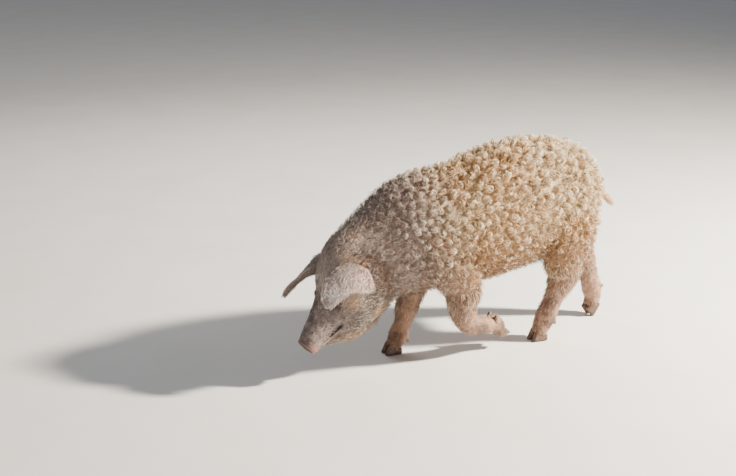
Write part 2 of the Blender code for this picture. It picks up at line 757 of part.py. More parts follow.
def snout_frame():
    """The middle of the snout's end and the way it faces, before the head is turned."""
    top = Vector((TRUNK["snout"].top[0], 0, TRUNK["snout"].top[1]))
    bottom = Vector((TRUNK["snout"].bottom[0], 0, TRUNK["snout"].bottom[1]))
    up = (top - bottom).normalized()
    facing = Vector((-up.z, 0, up.x))
    return (top + bottom) / 2, facing, up


def snout_disc():
    """The flat round end of the snout, with a rounded rim."""
    middle, facing, up = snout_frame()
    bpy.ops.mesh.primitive_cylinder_add(vertices=16, radius=SNOUT_RADIUS, depth=SNOUT_THICKNESS)
    disc = bpy.context.object
    disc.name = "snout_disc"
    disc.data.transform(Matrix.Diagonal((SNOUT_SQUASH, 1, 1, 1)))
    centre = middle + facing * (SNOUT_AHEAD - SNOUT_THICKNESS / 2)
    disc.data.transform(Matrix.Translation(centre) @ turn_towards(facing, up))
    bevel = disc.modifiers.new("rim", "BEVEL")
    bevel.width = SNOUT_RIM
    bevel.segments = 2
    bevel.limit_method = "ANGLE"
    apply_modifiers(disc)
    for vertex in disc.data.vertices:
        vertex.co = turned(vertex.co)
    return disc


def nostril(side):
    middle, facing, up = snout_frame()
    centre = middle + facing * SNOUT_AHEAD + up * NOSTRIL_RAISE + Vector((0, side * NOSTRIL_APART, 0))
    thing = ball("nostril", centre, NOSTRIL_SIZE, turn_towards(facing, (0, 1, 0)), 10, 6)
    for vertex in thing.data.vertices:
        vertex.co = turned(vertex.co)
    return thing


def eye_frame(side):
    """An eye's centre, the way it faces, and the direction of its slit."""
    angle = EYE_ANGLE * side
    surface, _ = body_ring(TRUNK, EYE_PLACE, 0, [angle, angle + SMALL_STEP])
    ahead, _ = body_ring(TRUNK, EYE_PLACE + SMALL_STEP, 0, [angle])
    facing = Vector(np.cross(surface[1] - surface[0], ahead[0] - surface[0])).normalized()
    if facing.y * side < 0:
        facing.negate()
    slit = Vector(ahead[0] - surface[0]).normalized()
    return Vector(surface[0]) - facing * EYE_DEPTH, facing, slit


def finish_head(head):
    """Snout disc, lips and lids are joined on, then nostrils, mouth and eye openings are cut."""
    added = lips(head) + [snout_disc()]
    cutters = [mouth_slit(), nostril(-1), nostril(1)]
    for side in (-1, 1):
        centre, facing, slit = eye_frame(side)
        lid = EYE_RADIUS + GAP + LID_THICKNESS
        turn = turn_towards(facing, slit)
        added.append(ball("lid", centre, (lid, lid, lid), turn, 12, 8))
        opening = centre + facing * (EYE_RADIUS + LID_THICKNESS)
        cutters.append(ball("lid_opening", opening, LID_OPENING, turn, 12, 6))
    combine(head, "UNION", added)
    combine(head, "DIFFERENCE", cutters)


def eye(side, name):
    centre, facing, slit = eye_frame(side)
    half_sizes = (EYE_RADIUS, EYE_RADIUS, EYE_RADIUS)
    return ball(name, centre, half_sizes, turn_towards(facing, slit), EYE_SIDES, EYE_BANDS)


def tail():
    rings = [limb_ring(TAIL, place, 0, TAIL_ANGLES)[0] for place in np.linspace(0, len(TAIL) - 1, TAIL_ROWS)]
    return loft("tail", rings)


def claw(name, foot, side):
    """A pointed claw: a bevelled block with a sloping front wall and a narrow toe."""
    half_width = CLAW_WIDTH / 2
    half_length = CLAW_LENGTH / 2
    thing = box(name, (-half_length, -half_width, 0), (half_length, half_width, CLAW_HEIGHT))
    for vertex in thing.data.vertices:
        at_toe = vertex.co.x < 0
        at_top = vertex.co.z > 0
        if at_toe:
            vertex.co.y = vertex.co.y * CLAW_TOE_WIDTH - side * CLAW_TOE_INWARD
        if at_toe and at_top:
            vertex.co.x += CLAW_WALL_SLOPE
        elif at_top:
            vertex.co.z *= CLAW_HEEL_HEIGHT
    bevel = thing.modifiers.new("round", "BEVEL")
    bevel.width = CLAW_ROUND
    bevel.segments = 1
    apply_modifiers(thing)
    shift = Matrix.Translation((0, side * CLAW_SPREAD, 0))
    thing.data.transform(foot_turn(foot) @ shift)
    return thing


def dewclaw(name, foot, side):
    """A small blunt cone behind the foot."""
    bpy.ops.mesh.primitive_cone_add(
        vertices=7, radius1=DEWCLAW_RADIUS, radius2=DEWCLAW_TIP, depth=DEWCLAW_LENGTH
    )
    thing = bpy.context.object
    thing.name = name
    place = Vector(DEWCLAW_PLACE)
    place.y = side * DEWCLAW_SPREAD
    direction = Vector(DEWCLAW_DIRECTION)
    turn = turn_towards(direction, (0, 1, 0))
    pitch = Matrix.Rotation(-foot.pitch, 4, "Y")
    thing.data.transform(Matrix.Translation(foot.fetlock) @ pitch @ Matrix.Translation(place) @ turn)
    return thing


def feet():
    """All claws and dewclaws, by the leg that carries them, cut level with the floor."""
    claws = {}
    for foot_name, foot in FEET.items():
        things = []
        for side, word in ((1, "inner"), (-1, "outer")):
            if foot_name.endswith("right"):
                word = "outer" if word == "inner" else "inner"
            things.append(claw(f"claw_{foot_name}_{word}", foot, side))
            things.append(dewclaw(f"dewclaw_{foot_name}_{word}", foot, side))
        for thing in things:
            combine(thing, "DIFFERENCE", [box("floor", (-FAR, -FAR, -FAR), (FAR, FAR, 0))])
        claws["shank_" + foot_name] = things
    return claws


def material(name):
    colour, roughness = MATERIALS[name]
    finish = bpy.data.materials.get(name)
    if finish is None:
        finish = bpy.data.materials.new(name)
        finish.use_nodes = True
        shader = finish.node_tree.nodes["Principled BSDF"]
        shader.inputs["Base Color"].default_value = (*colour, 1)
        shader.inputs["Roughness"].default_value = roughness
        shader.inputs["Metallic"].default_value = 0.0
    return finish


def finish(thing, material_name):
    thing.data.materials.clear()
    thing.data.materials.append(material(material_name))
    thing.data.shade_smooth()


def centre_on_origin(things):
    """Move everything so that the middle of its box stands on the origin."""
    corners = np.array([v.co for thing in things for v in thing.data.vertices])
    middle = (corners.min(axis=0) + corners.max(axis=0)) / 2
    for thing in things:
        thing.data.transform(Matrix.Translation((-middle[0], -middle[1], 0)))


def reaches(node, point):
    """Whether a clump set at a point can touch a node."""
    low = np.min([v.co for v in node.data.vertices], axis=0) - 2 * CLUMP_SPREAD
    high = np.max([v.co for v in node.data.vertices], axis=0) + 2 * CLUMP_SPREAD
    return bool(np.all(low < np.array(point)) and np.all(np.array(point) < high))


def material_of(node_name):
    for start, name in (("ear", "ear"), ("eye", "eye"), ("claw", "claw"), ("dewclaw", "claw")):
        if node_name.startswith(start):
            return name
    return "skin" if node_name.startswith(("head", "shank", "tail")) else "coat"


def main():
    clear_scene()
    body = flesh(CLUMP_RISE)
    clumps = make_clumps(body)
    ears = {side: ear(side) for side in EAR_EDGES}
    eyes = [eye(-1, "eye_left"), eye(1, "eye_right")]
    tail_piece = tail()
    claws = feet()

    nodes = []
    shanks = [name.replace("leg", "shank") for name in LEG_ROOMS]
    for region in ("head", "neck", "torso", *LEG_ROOMS, *shanks):
        node = copy(body, region)
        cut_to_region(node, region, OVERLAP)
        reduce_triangles(node, TRIANGLES[region.partition("_")[0]])
        near = [thing for point, thing in clumps if reaches(node, point)]
        if near:
            combine(node, "UNION", near, keep_tools=True)
        cut_to_region(node, region, -GAP / 2)
        if region == "head":
            finish_head(node)
            combine(node, "DIFFERENCE", [grown(thing) for thing in (*ears.values(), *eyes)])
        if region == "torso":
            combine(node, "DIFFERENCE", [grown(tail_piece)])
        if region in claws:
            combine(node, "DIFFERENCE", [grown(thing) for thing in claws[region]])
        largest_surface(node)
        nodes.append(node)
    remove([body] + [thing for _, thing in clumps])
    nodes += [*ears.values(), *eyes, tail_piece] + [thing for things in claws.values() for thing in things]
    for node in nodes:
        finish(node, material_of(node.name))
    centre_on_origin(nodes)


main()
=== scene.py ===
"""Looks of a young mangalica pig: one skin, a curly coat of mesh locks, bristles, eyes and claws.

Everything is made in the pig's own frame, in metres: it faces -X, its left side is -Y, and
the floor is z = 0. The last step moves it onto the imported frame, by the place of the left eye.
"""
import math
from collections import namedtuple

import bmesh
import bpy
import numpy as np
from mathutils import Matrix, Vector
from mathutils.kdtree import KDTree


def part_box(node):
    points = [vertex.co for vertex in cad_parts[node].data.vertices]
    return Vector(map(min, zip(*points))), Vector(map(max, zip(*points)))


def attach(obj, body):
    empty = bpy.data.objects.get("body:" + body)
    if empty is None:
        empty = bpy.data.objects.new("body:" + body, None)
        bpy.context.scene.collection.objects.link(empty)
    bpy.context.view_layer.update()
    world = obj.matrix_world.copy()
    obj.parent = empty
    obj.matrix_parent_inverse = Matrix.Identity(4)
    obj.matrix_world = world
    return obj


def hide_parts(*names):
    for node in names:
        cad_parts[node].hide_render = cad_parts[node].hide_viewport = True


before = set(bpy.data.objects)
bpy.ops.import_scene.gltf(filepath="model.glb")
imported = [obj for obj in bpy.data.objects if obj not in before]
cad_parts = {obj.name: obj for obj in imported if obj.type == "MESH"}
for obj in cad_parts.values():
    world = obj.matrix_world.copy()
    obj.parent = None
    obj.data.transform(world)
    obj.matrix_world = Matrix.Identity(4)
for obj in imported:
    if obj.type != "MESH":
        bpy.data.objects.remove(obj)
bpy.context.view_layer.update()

# How far the skin lies under the tips of the coat
COAT_DEPTH = 0.024

# The head is turned to the pig's left, about an upright axis in the neck
HEAD_TURN = math.radians(8.0)
TURN_PIVOT_X = -0.30
TURN_STARTS_X = -0.22
TURN_FULL_X = -0.42

# A section across the body: its top and bottom point in the pig's middle plane, its half
# width, how much wider it is below than above, and its share of the coat.
Section = namedtuple("Section", "top bottom half_width low_belly coat")

TRUNK = {
    "rump_end": Section((0.546, 0.545), (0.524, 0.440), 0.050, 0.00, 1.0),
    "tail_head": Section((0.527, 0.609), (0.496, 0.385), 0.110, 0.00, 1.0),
    "hip": Section((0.462, 0.675), (0.448, 0.320), 0.152, 0.00, 1.0),
    "loin_rear": Section((0.350, 0.704), (0.350, 0.275), 0.170, 0.03, 1.0),
    "loin": Section((0.215, 0.710), (0.225, 0.255), 0.178, 0.06, 1.0),
    "belly": Section((0.085, 0.687), (0.100, 0.237), 0.182, 0.08, 1.0),
    "heart": Section((-0.020, 0.651), (-0.015, 0.232), 0.176, 0.06, 1.0),
    "withers": Section((-0.125, 0.627), (-0.125, 0.232), 0.166, 0.04, 1.0),
    "neck_base": Section((-0.225, 0.591), (-0.205, 0.234), 0.148, 0.00, 1.0),
    "neck": Section((-0.315, 0.542), (-0.255, 0.218), 0.128, 0.00, 1.0),
    "nape": Section((-0.396, 0.495), (-0.288, 0.182), 0.112, 0.02, 1.0),
    "poll": Section((-0.472, 0.442), (-0.322, 0.158), 0.104, 0.06, 0.5),
    "brow": Section((-0.511, 0.366), (-0.364, 0.147), 0.093, 0.12, 0.15),
    "eyes": Section((-0.518, 0.290), (-0.411, 0.135), 0.070, 0.10, 0.1),
    "bridge": Section((-0.543, 0.230), (-0.462, 0.140), 0.049, 0.04, 0.0),
    "muzzle": Section((-0.570, 0.183), (-0.507, 0.120), 0.038, 0.00, 0.0),
    "snout": Section((-0.590, 0.147), (-0.540, 0.099), 0.035, 0.00, 0.0),
}
EYE_PLACE = 12.82
EYE_ANGLE = math.radians(57)

JAW = {
    "back": Section((-0.375, 0.275), (-0.322, 0.142), 0.066, 0.0, 0.9),
    "angle": Section((-0.410, 0.235), (-0.370, 0.119), 0.064, 0.0, 0.7),
    "cheek": Section((-0.450, 0.190), (-0.420, 0.108), 0.048, 0.0, 0.2),
    "lip": Section((-0.482, 0.160), (-0.460, 0.112), 0.034, 0.0, 0.0),
    "chin": Section((-0.505, 0.135), (-0.493, 0.108), 0.023, 0.0, 0.0),
}

# A section across a limb: its centre, its half depth fore and aft, its half width, and its
# share of the coat.
Joint = namedtuple("Joint", "centre depth width coat")

LIMBS = {
    "leg_front_left": [
        Joint((-0.165, -0.085, 0.485), 0.100, 0.060, 1.0),
        Joint((-0.120, -0.105, 0.385), 0.100, 0.066, 1.0),
        Joint((-0.060, -0.110, 0.305), 0.087, 0.062, 1.0),
        Joint((-0.032, -0.104, 0.250), 0.066, 0.054, 0.7),
        Joint((-0.028, -0.098, 0.195), 0.050, 0.045, 0.1),
        Joint((-0.018, -0.092, 0.145), 0.040, 0.038, 0.0),
        Joint((0.012, -0.086, 0.112), 0.037, 0.035, 0.0),
        Joint((0.055, -0.081, 0.098), 0.030, 0.030, 0.0),
        Joint((0.092, -0.076, 0.092), 0.028, 0.028, 0.0),
        Joint((0.114, -0.071, 0.089), 0.031, 0.032, 0.0),
        Joint((0.130, -0.068, 0.079), 0.027, 0.030, 0.0),
    ],
    "leg_front_right": [
        Joint((-0.165, 0.085, 0.485), 0.100, 0.060, 1.0),
        Joint((-0.135, 0.105, 0.385), 0.100, 0.066, 1.0),
        Joint((-0.105, 0.108, 0.305), 0.086, 0.060, 1.0),
        Joint((-0.100, 0.098, 0.245), 0.062, 0.052, 0.7),
        Joint((-0.120, 0.086, 0.190), 0.046, 0.042, 0.1),
        Joint((-0.142, 0.074, 0.142), 0.037, 0.036, 0.0),
        Joint((-0.162, 0.065, 0.098), 0.029, 0.029, 0.0),
        Joint((-0.180, 0.058, 0.066), 0.032, 0.033, 0.0),
        Joint((-0.194, 0.055, 0.044), 0.028, 0.031, 0.0),
    ],
    "leg_hind_left": [
        Joint((0.400, -0.070, 0.545), 0.120, 0.070, 1.0),
        Joint((0.400, -0.096, 0.445), 0.122, 0.076, 1.0),
        Joint((0.380, -0.106, 0.355), 0.108, 0.069, 1.0),
        Joint((0.374, -0.101, 0.290), 0.082, 0.056, 0.8),
        Joint((0.388, -0.093, 0.242), 0.058, 0.043, 0.3),
        Joint((0.374, -0.086, 0.194), 0.044, 0.036, 0.0),
        Joint((0.350, -0.080, 0.138), 0.032, 0.031, 0.0),
        Joint((0.330, -0.074, 0.086), 0.036, 0.035, 0.0),
        Joint((0.313, -0.071, 0.050), 0.029, 0.032, 0.0),
    ],
    "leg_hind_right": [
        Joint((0.410, 0.070, 0.545), 0.120, 0.070, 1.0),
        Joint((0.432, 0.096, 0.455), 0.118, 0.074, 1.0),
        Joint((0.470, 0.100, 0.380), 0.100, 0.066, 1.0),
        Joint((0.525, 0.092, 0.318), 0.070, 0.052, 0.8),
        Joint((0.578, 0.080, 0.268), 0.048, 0.040, 0.3),
        Joint((0.598, 0.072, 0.212), 0.038, 0.035, 0.0),
        Joint((0.614, 0.066, 0.155), 0.031, 0.031, 0.0),
        Joint((0.628, 0.060, 0.102), 0.035, 0.035, 0.0),
        Joint((0.631, 0.056, 0.066), 0.028, 0.031, 0.0),
    ],
}

# Each foot: how far the toes are tipped down from level, and the claws' own origin, which
# is the middle between the two soles.
Foot = namedtuple("Foot", "pitch fetlock origin")
FEET = {
    "front_left": Foot(math.radians(140), (0.114, -0.071, 0.089), (0.156, -0.066, 0.073)),
    "front_right": Foot(0.0, (-0.180, 0.058, 0.066), (-0.212, 0.055, 0.0)),
    "hind_left": Foot(0.0, (0.330, -0.074, 0.086), (0.296, -0.069, 0.0)),
    "hind_right": Foot(math.radians(62), (0.628, 0.060, 0.102), (0.637, 0.055, 0.0195)),
}
CLAW_LENGTH = 0.056
CLAW_HEIGHT = 0.038
CLAW_WIDTH = 0.027
CLAW_SPREAD = 0.0155
CLAW_TOE_WIDTH = 0.62
CLAW_TOE_INWARD = 0.0015
CLAW_WALL_SLOPE = 0.020
CLAW_HEEL_HEIGHT = 0.58
CLAW_HORN = (1.06, 1.12, 1.14)
CLAW_ROUNDING = 0.0062
DEWCLAW_LENGTH = 0.030
DEWCLAW_RADIUS = 0.0105
DEWCLAW_TIP = 0.0050
DEWCLAW_SPREAD = 0.020
DEWCLAW_PLACE = (0.019, 0.0, -0.016)
DEWCLAW_DIRECTION = (0.45, 0.0, -0.89)
FOOT_END_PLACE = (0.006, 0.0, 0.024)
FOOT_END_DEPTH = 0.022
FOOT_END_WIDTH = 0.029

# An ear's front and rear edges, from the root in the head to the tip, before the head is
# turned, and its cup and thickness along the way. The right ear is held out further.
EAR_EDGES = {
    "left": (
        ((-0.430, -0.028, 0.385), (-0.524, -0.052, 0.366), (-0.559, -0.078, 0.320),
         (-0.566, -0.088, 0.297), (-0.557, -0.095, 0.273)),
        ((-0.385, -0.058, 0.365), (-0.406, -0.105, 0.374), (-0.400, -0.130, 0.310),
         (-0.476, -0.119, 0.309), (-0.546, -0.097, 0.265)),
    ),
    "right": (
        ((-0.430, 0.028, 0.385), (-0.524, 0.052, 0.366), (-0.563, 0.086, 0.318),
         (-0.588, 0.096, 0.290), (-0.593, 0.103, 0.263)),
        ((-0.385, 0.058, 0.365), (-0.406, 0.105, 0.374), (-0.402, 0.130, 0.312),
         (-0.492, 0.122, 0.304), (-0.582, 0.106, 0.256)),
    ),
}
EAR_CUP = (0.016, 0.018, 0.012, 0.008, 0.000)
EAR_THICK = (0.0080, 0.0055, 0.0042, 0.0036, 0.0030)
EAR_EDGE = 0.0014
EAR_POINTS = 41
EAR_ROWS = 64
EAR_FRINGE = 700
EAR_ROOT_COAT = 0.62
EAR_ROOT_END = 1.3
ROOT_TUFTS = 550
LASHES = 16

TAIL = [
    Joint((0.535, 0.000, 0.540), 0.017, 0.017, 0.0),
    Joint((0.568, 0.000, 0.515), 0.014, 0.014, 0.0),
    Joint((0.596, -0.004, 0.484), 0.011, 0.011, 0.0),
    Joint((0.622, -0.008, 0.456), 0.009, 0.009, 0.0),
    Joint((0.644, -0.010, 0.436), 0.007, 0.007, 0.0),
]

# Head: snout disc, nostrils, mouth, lips and lids
SNOUT_RADIUS = 0.0350
SNOUT_SQUASH = 0.92
SNOUT_THICKNESS = 0.028
SNOUT_AHEAD = 0.013
SNOUT_RIM = 0.0055
NOSTRIL_APART = 0.0130
NOSTRIL_RAISE = 0.003
NOSTRIL_SIZE = 0.0062
NOSTRIL_DEPTH = 0.012
MOUTH_FRONT = (-0.570, 0.083)
MOUTH_CORNER = (-0.478, 0.181)
MOUTH_DEPTH = 0.0085
MOUTH_WIDTH = 0.0026
LIP_RISE = 0.0026
LIP_WIDTH = 0.0070
MOUTH_PIT = 0.0060
MOUTH_PIT_WIDTH = 0.0050
EYE_RADIUS = 0.0122
EYE_DEPTH = 0.0075
LID_THICKNESS = 0.0030
LID_OPENING = 0.0088
LID_HALF_HEIGHT = 0.0046
LID_REACH = 0.030
LID_SLIT_DEPTH = 0.009
LID_FOLD_DEPTH = 0.0016
LID_FOLD_PLACE = 0.0205
LID_FOLD_WIDTH = 0.0022
# Size of the dark patch round each eye: dark lid skin and painted shadow from the ear's rim
DARK_LID_AND_SHADE_LENGTH = 0.0255
DARK_LID_AND_SHADE_HEIGHT = 0.0125
BARE_EYE = 0.0225

# How far the rims of lids and nostrils stand out
RIM_HEIGHT = 0.0012

# Mesh fineness
RING_ANGLES = np.linspace(0, math.tau, 48, endpoint=False)
STEPS = 8
VOXEL = 0.0034
SMALL_STEP = 0.05
TURN_STEP = 0.01
SKIN_SMOOTHING = 8
MAP_STEPS = 10
MAP_EAR_ROWS = 60
UV_PATCH = 0.003
MOST_TRIANGLES = 190000

# Which loft of the map is the first leg, the tail and the first ear
FIRST_LEG = 2
TAIL_CHART = 6
FIRST_EAR = 7

# The start of the random draws
SEED = 5

# Curls: balls of locks that swirl round a tilted axis, each a little apart from the next.
# They are smaller and looser on the neck, the jowl and the legs.
CURL_SPACING = 0.0285
CURL_RADIUS = 0.0190
CURL_DOME = 0.38
CURL_TILT = 0.75
CURL_SMALLEST = 0.66
CURL_LOCKS = 19300
CURL_STATIONS = 8
LOCK_WIDTH = 0.0022
WAVY_LENGTH = 0.023
WAVY_RISE = 0.011
NECK_CURLS_END = -0.42
NECK_CURLS_START = -0.10
NECK_RAISE = 0.80
LEG_CURLS_END = 0.22
LEG_CURLS_START = 0.46
CURL_CANDIDATES = 60000

# The coat stands higher along the top of the neck and withers
CREST_RISE = 0.022
CREST_PLACE = -0.215
CREST_REACH = 0.125

# Loose hairs that stand between the curls, and how high they stand for the coat's depth
FUZZ_LOCKS = 12000
FUZZ_SIZE = (0.019, 0.00105)
FUZZ_STAND = (0.5, 0.98)

# Points along a short tuft and along a hair
TUFT_STATIONS = 3
HAIR_STATIONS = 4

# The width of the thinnest and the thickest hair, as shares of the usual one
WIDTH_SPREAD = (0.7, 1.3)

# Where the clear front of the eye begins and how far it reaches, as shares of the eye's
# radius, and how far it stands out
CORNEA_START = 0.62
CORNEA_REACH = 0.38
CORNEA_RISE = 0.0011


def along(values, place):
    """A smooth curve through a list of values, read at a place such as 2.5."""
    values = np.asarray(values, dtype=float)
    last = len(values) - 1
    index = min(int(place), last - 1)
    share = place - index
    before = values[max(index - 1, 0)]
    start = values[index]
    end = values[index + 1]
    after = values[min(index + 2, last)]
    bend = 2 * before - 5 * start + 4 * end - after
    twist = 3 * start - before - 3 * end + after
    return start + 0.5 * ((end - before) * share + bend * share ** 2 + twist * share ** 3)


def slope(values, place):
    """Which way a smooth curve through a list of values runs at a place."""
    last = len(values) - 1
    return along(values, min(place + SMALL_STEP, last)) - along(values, max(place - SMALL_STEP, 0))


def places(parts, steps):
    """Evenly spaced places along a row of sections."""
    last = len(parts) - 1
    return np.linspace(0, last, last * steps + 1)


def turned(points):
    """Points of the neck and head, with the head turned to its side."""
    points = np.array(points, dtype=float)
    share = np.clip((TURN_STARTS_X - points[..., 0]) / (TURN_STARTS_X - TURN_FULL_X), 0, 1)
    angle = HEAD_TURN * share ** 2 * (3 - 2 * share)
    x = points[..., 0] - TURN_PIVOT_X
    y = points[..., 1].copy()
    points[..., 0] = TURN_PIVOT_X + np.cos(angle) * x - np.sin(angle) * y
    points[..., 1] = np.sin(angle) * x + np.cos(angle) * y
    return points


def turned_way(root, way):
    """A direction at a place of the head, as it is after the head's turn."""
    return turned(root + way * TURN_STEP) - turned(root)


def body_ring(sections, place, inset, angles=RING_ANGLES):
    """One ring of the trunk or jaw, with its share of the coat."""
    stations = list(sections.values())
    top = along([s.top for s in stations], place)
    bottom = along([s.bottom for s in stations], place)
    half_width = along([s.half_width for s in stations], place)
    low_belly = along([s.low_belly for s in stations], place)
    coat = along([s.coat for s in stations], place)
    middle = (top + bottom) / 2
    rise = (top - bottom) / 2
    height = np.linalg.norm(rise)
    drawn_in = inset * coat
    upward = (1 - drawn_in / height) * np.cos(angles)
    sideways = (half_width - drawn_in) * np.sin(angles) * (1 - low_belly * np.cos(angles))
    ring = np.stack([middle[0] + rise[0] * upward, sideways, middle[1] + rise[1] * upward], axis=1)
    return turned(ring), coat


def limb_ring(joints, place, inset, angles=RING_ANGLES):
    """One ring of a limb or the tail, square to its line, with its share of the coat."""
    centres = [j.centre for j in joints]
    centre = along(centres, place)
    ahead = slope(centres, place)
    ahead /= np.linalg.norm(ahead)
    aside = np.array([0.0, 1.0, 0.0]) - ahead[1] * ahead
    aside /= np.linalg.norm(aside)
    fore = np.cross(aside, ahead)
    coat = along([j.coat for j in joints], place)
    depth = along([j.depth for j in joints], place) - inset * coat
    width = along([j.width for j in joints], place) - inset * coat
    ring = centre + np.outer(depth * np.cos(angles), fore) + np.outer(width * np.sin(angles), aside)
    return ring, coat


def add_object(name, data):
    thing = bpy.data.objects.new(name, data)
    bpy.context.scene.collection.objects.link(thing)
    return thing


def edit_mesh(mesh, change):
    """Change a mesh in place, by a function that edits it as a bmesh."""
    shape = bmesh.new()
    shape.from_mesh(mesh)
    change(shape)
    shape.to_mesh(mesh)
    shape.free()


def mesh_object(name, vertices, faces):
    mesh = bpy.data.meshes.new(name)
    mesh.from_pydata([tuple(v) for v in vertices], [], faces)
    edit_mesh(mesh, lambda shape: bmesh.ops.recalc_face_normals(shape, faces=shape.faces))
    return add_object(name, mesh)


def loft(name, rings):
    """A closed skin over a row of rings that have as many points each."""
    count = len(rings[0])
    faces = []
    for start in range(0, (len(rings) - 1) * count, count):
        for i in range(count):
            j = (i + 1) % count
            faces.append((start + i, start + j, start + count + j, start + count + i))
    faces.append(tuple(range(count)))
    faces.append(tuple(range((len(rings) - 1) * count, len(rings) * count)))
    return mesh_object(name, np.concatenate(rings), faces)


def apply_modifiers(thing):
    graph = bpy.context.evaluated_depsgraph_get()
    mesh = bpy.data.meshes.new_from_object(thing.evaluated_get(graph))
    thing.modifiers.clear()
    old = thing.data
    thing.data = mesh
    bpy.data.meshes.remove(old)


def round_edges(thing, width):
    bevel = thing.modifiers.new("round", "BEVEL")
    bevel.width = width
    bevel.segments = 4
    return bevel


def remove(things):
    for thing in things:
        bpy.data.objects.remove(thing, do_unlink=True)


def turn_towards(direction, roll_guide):
    """A turn that takes Z to a direction, and X as near as it can to a guide."""
    up = Vector(direction).normalized()
    ahead = Vector(roll_guide)
    ahead = (ahead - up * ahead.dot(up)).normalized()
    return Matrix((ahead, up.cross(ahead), up)).transposed().to_4x4()


def foot_turn(foot):
    """The place and tip of a foot: its toes point to -X and its soles are level at first."""
    return Matrix.Translation(foot.origin) @ Matrix.Rotation(-foot.pitch, 4, "Y")


def foot_end(foot):
    """The lowest section of a leg, between its claws."""
    return Joint(tuple(foot_turn(foot) @ Vector(FOOT_END_PLACE)), FOOT_END_DEPTH, FOOT_END_WIDTH, 0.0)


def eye_frame(side):
    """An eye's centre, the way it faces, and the direction of its slit."""
    angle = EYE_ANGLE * side
    surface, _ = body_ring(TRUNK, EYE_PLACE, 0, [angle, angle + SMALL_STEP])
    ahead, _ = body_ring(TRUNK, EYE_PLACE + SMALL_STEP, 0, [angle])
    facing = Vector(np.cross(surface[1] - surface[0], ahead[0] - surface[0])).normalized()
    if facing.y * side < 0:
        facing.negate()
    slit = Vector(ahead[0] - surface[0]).normalized()
    return Vector(surface[0]) - facing * EYE_DEPTH, facing, slit


def eyes():
    """Each eye's side, centre, facing and slit, as arrays."""
    for side in (-1, 1):
        yield side, *(np.array(v) for v in eye_frame(side))


def snout_frame():
    """The middle of the snout's end and the way it faces, before the head is turned."""
    top, bottom = (Vector((x, 0, z)) for x, z in (TRUNK["snout"].top, TRUNK["snout"].bottom))
    up = (top - bottom).normalized()
    facing = Vector((-up.z, 0, up.x))
    return (top + bottom) / 2, facing, up


def snout_disc():
    """The flat round end of the snout, with a rounded rim."""
    middle, facing, up = snout_frame()
    bpy.ops.mesh.primitive_cylinder_add(vertices=64, radius=SNOUT_RADIUS, depth=SNOUT_THICKNESS)
    disc = bpy.context.object
    disc.name = "snout_disc"
    disc.data.transform(Matrix.Diagonal((SNOUT_SQUASH, 1, 1, 1)))
    centre = middle + facing * (SNOUT_AHEAD - SNOUT_THICKNESS / 2)
    disc.data.transform(Matrix.Translation(centre) @ turn_towards(facing, up))
    round_edges(disc, SNOUT_RIM).limit_method = "ANGLE"
    apply_modifiers(disc)
    for vertex in disc.data.vertices:
        vertex.co = turned(vertex.co)
    return disc


def ear_leaf(side, place):
    """An ear's crescent at a place: points across it, and the way its outside faces."""
    front_edge, rear_edge = EAR_EDGES[side]
    middle = (np.array(front_edge) + np.array(rear_edge)) / 2
    ahead = slope(middle, place)
    across = (along(rear_edge, place) - along(front_edge, place)) / 2
    outward = np.cross(ahead, across) * (1 if side == "left" else -1)
    outward /= np.linalg.norm(outward)
    spans = np.linspace(-1, 1, EAR_POINTS)
    cup = along(EAR_CUP, place)
    leaf = along(middle, place) + np.outer(spans, across)
    leaf = leaf + np.outer(cup * (0.5 - spans ** 2), outward)
    depth = EAR_EDGE / 2 + (along(EAR_THICK, place) / 2 - EAR_EDGE / 2) * (1 - spans ** 2)
    return leaf, np.outer(depth, outward), ahead / np.linalg.norm(ahead)


def ear(side):
    rings = []
    for place in np.linspace(0, len(EAR_CUP) - 1, EAR_ROWS):
        leaf, depth, _ = ear_leaf(side, place)
        rings.append(turned(np.concatenate([leaf + depth, (leaf - depth)[::-1]])))
    thing = loft("ear_" + side, rings)
    edit_mesh(thing.data, lambda shape: bmesh.ops.triangulate(shape, faces=shape.faces))
    return thing


def flesh():
    """The whole body under its coat, without ears and claws, in one skin."""
    lofts = []
    for name, sections in (("trunk", TRUNK), ("jaw", JAW)):
        rings = [body_ring(sections, place, COAT_DEPTH)[0] for place in places(sections, STEPS)]
        lofts.append(loft(name, rings))
    for name, joints in LIMBS.items():
        joints = joints + [foot_end(FEET[name.removeprefix("leg_")])]
        rings = [limb_ring(joints, place, COAT_DEPTH)[0] for place in places(joints, STEPS)]
        lofts.append(loft(name, rings))
    rings = [limb_ring(TAIL, place, 0)[0] for place in places(TAIL, STEPS)]
    lofts.append(loft("tail_flesh", rings))
    lofts.append(snout_disc())
    body = lofts[0]
    body.name = "skin"
    shape = bmesh.new()
    for thing in lofts:
        shape.from_mesh(thing.data)
    shape.to_mesh(body.data)
    shape.free()
    remove(lofts[1:])
    remesh = body.modifiers.new("remesh", "REMESH")
    remesh.mode = "VOXEL"
    remesh.voxel_size = VOXEL
    smooth = body.modifiers.new("smooth", "SMOOTH")
    smooth.iterations = SKIN_SMOOTHING
    apply_modifiers(body)
    return body


def coordinates(mesh):
    points = np.empty(len(mesh.vertices) * 3)
    mesh.vertices.foreach_get("co", points)
    return points.reshape(-1, 3)


def vertex_normals(mesh):
    normals = np.empty(len(mesh.vertices) * 3)
    mesh.vertex_normals.foreach_get("vector", normals)
    return normals.reshape(-1, 3)


def place_points(mesh, points):
    mesh.vertices.foreach_set("co", points.ravel())
    mesh.update()


def finer_head(shape):
    """Twice the fineness on the head, for its lids, folds, lips and nostrils."""
    edge_x = turned((TRUNK["poll"].top[0], 0, 0))[0]
    faces = [f for f in shape.faces if f.calc_center_median().x < edge_x]
    edges = list({e for f in faces for e in f.edges})
    bmesh.ops.subdivide_edges(shape, edges=edges, cuts=1, use_grid_fill=True, smooth=0.6)


def bell(distance, width):
    return np.exp(-(distance / width) ** 2)


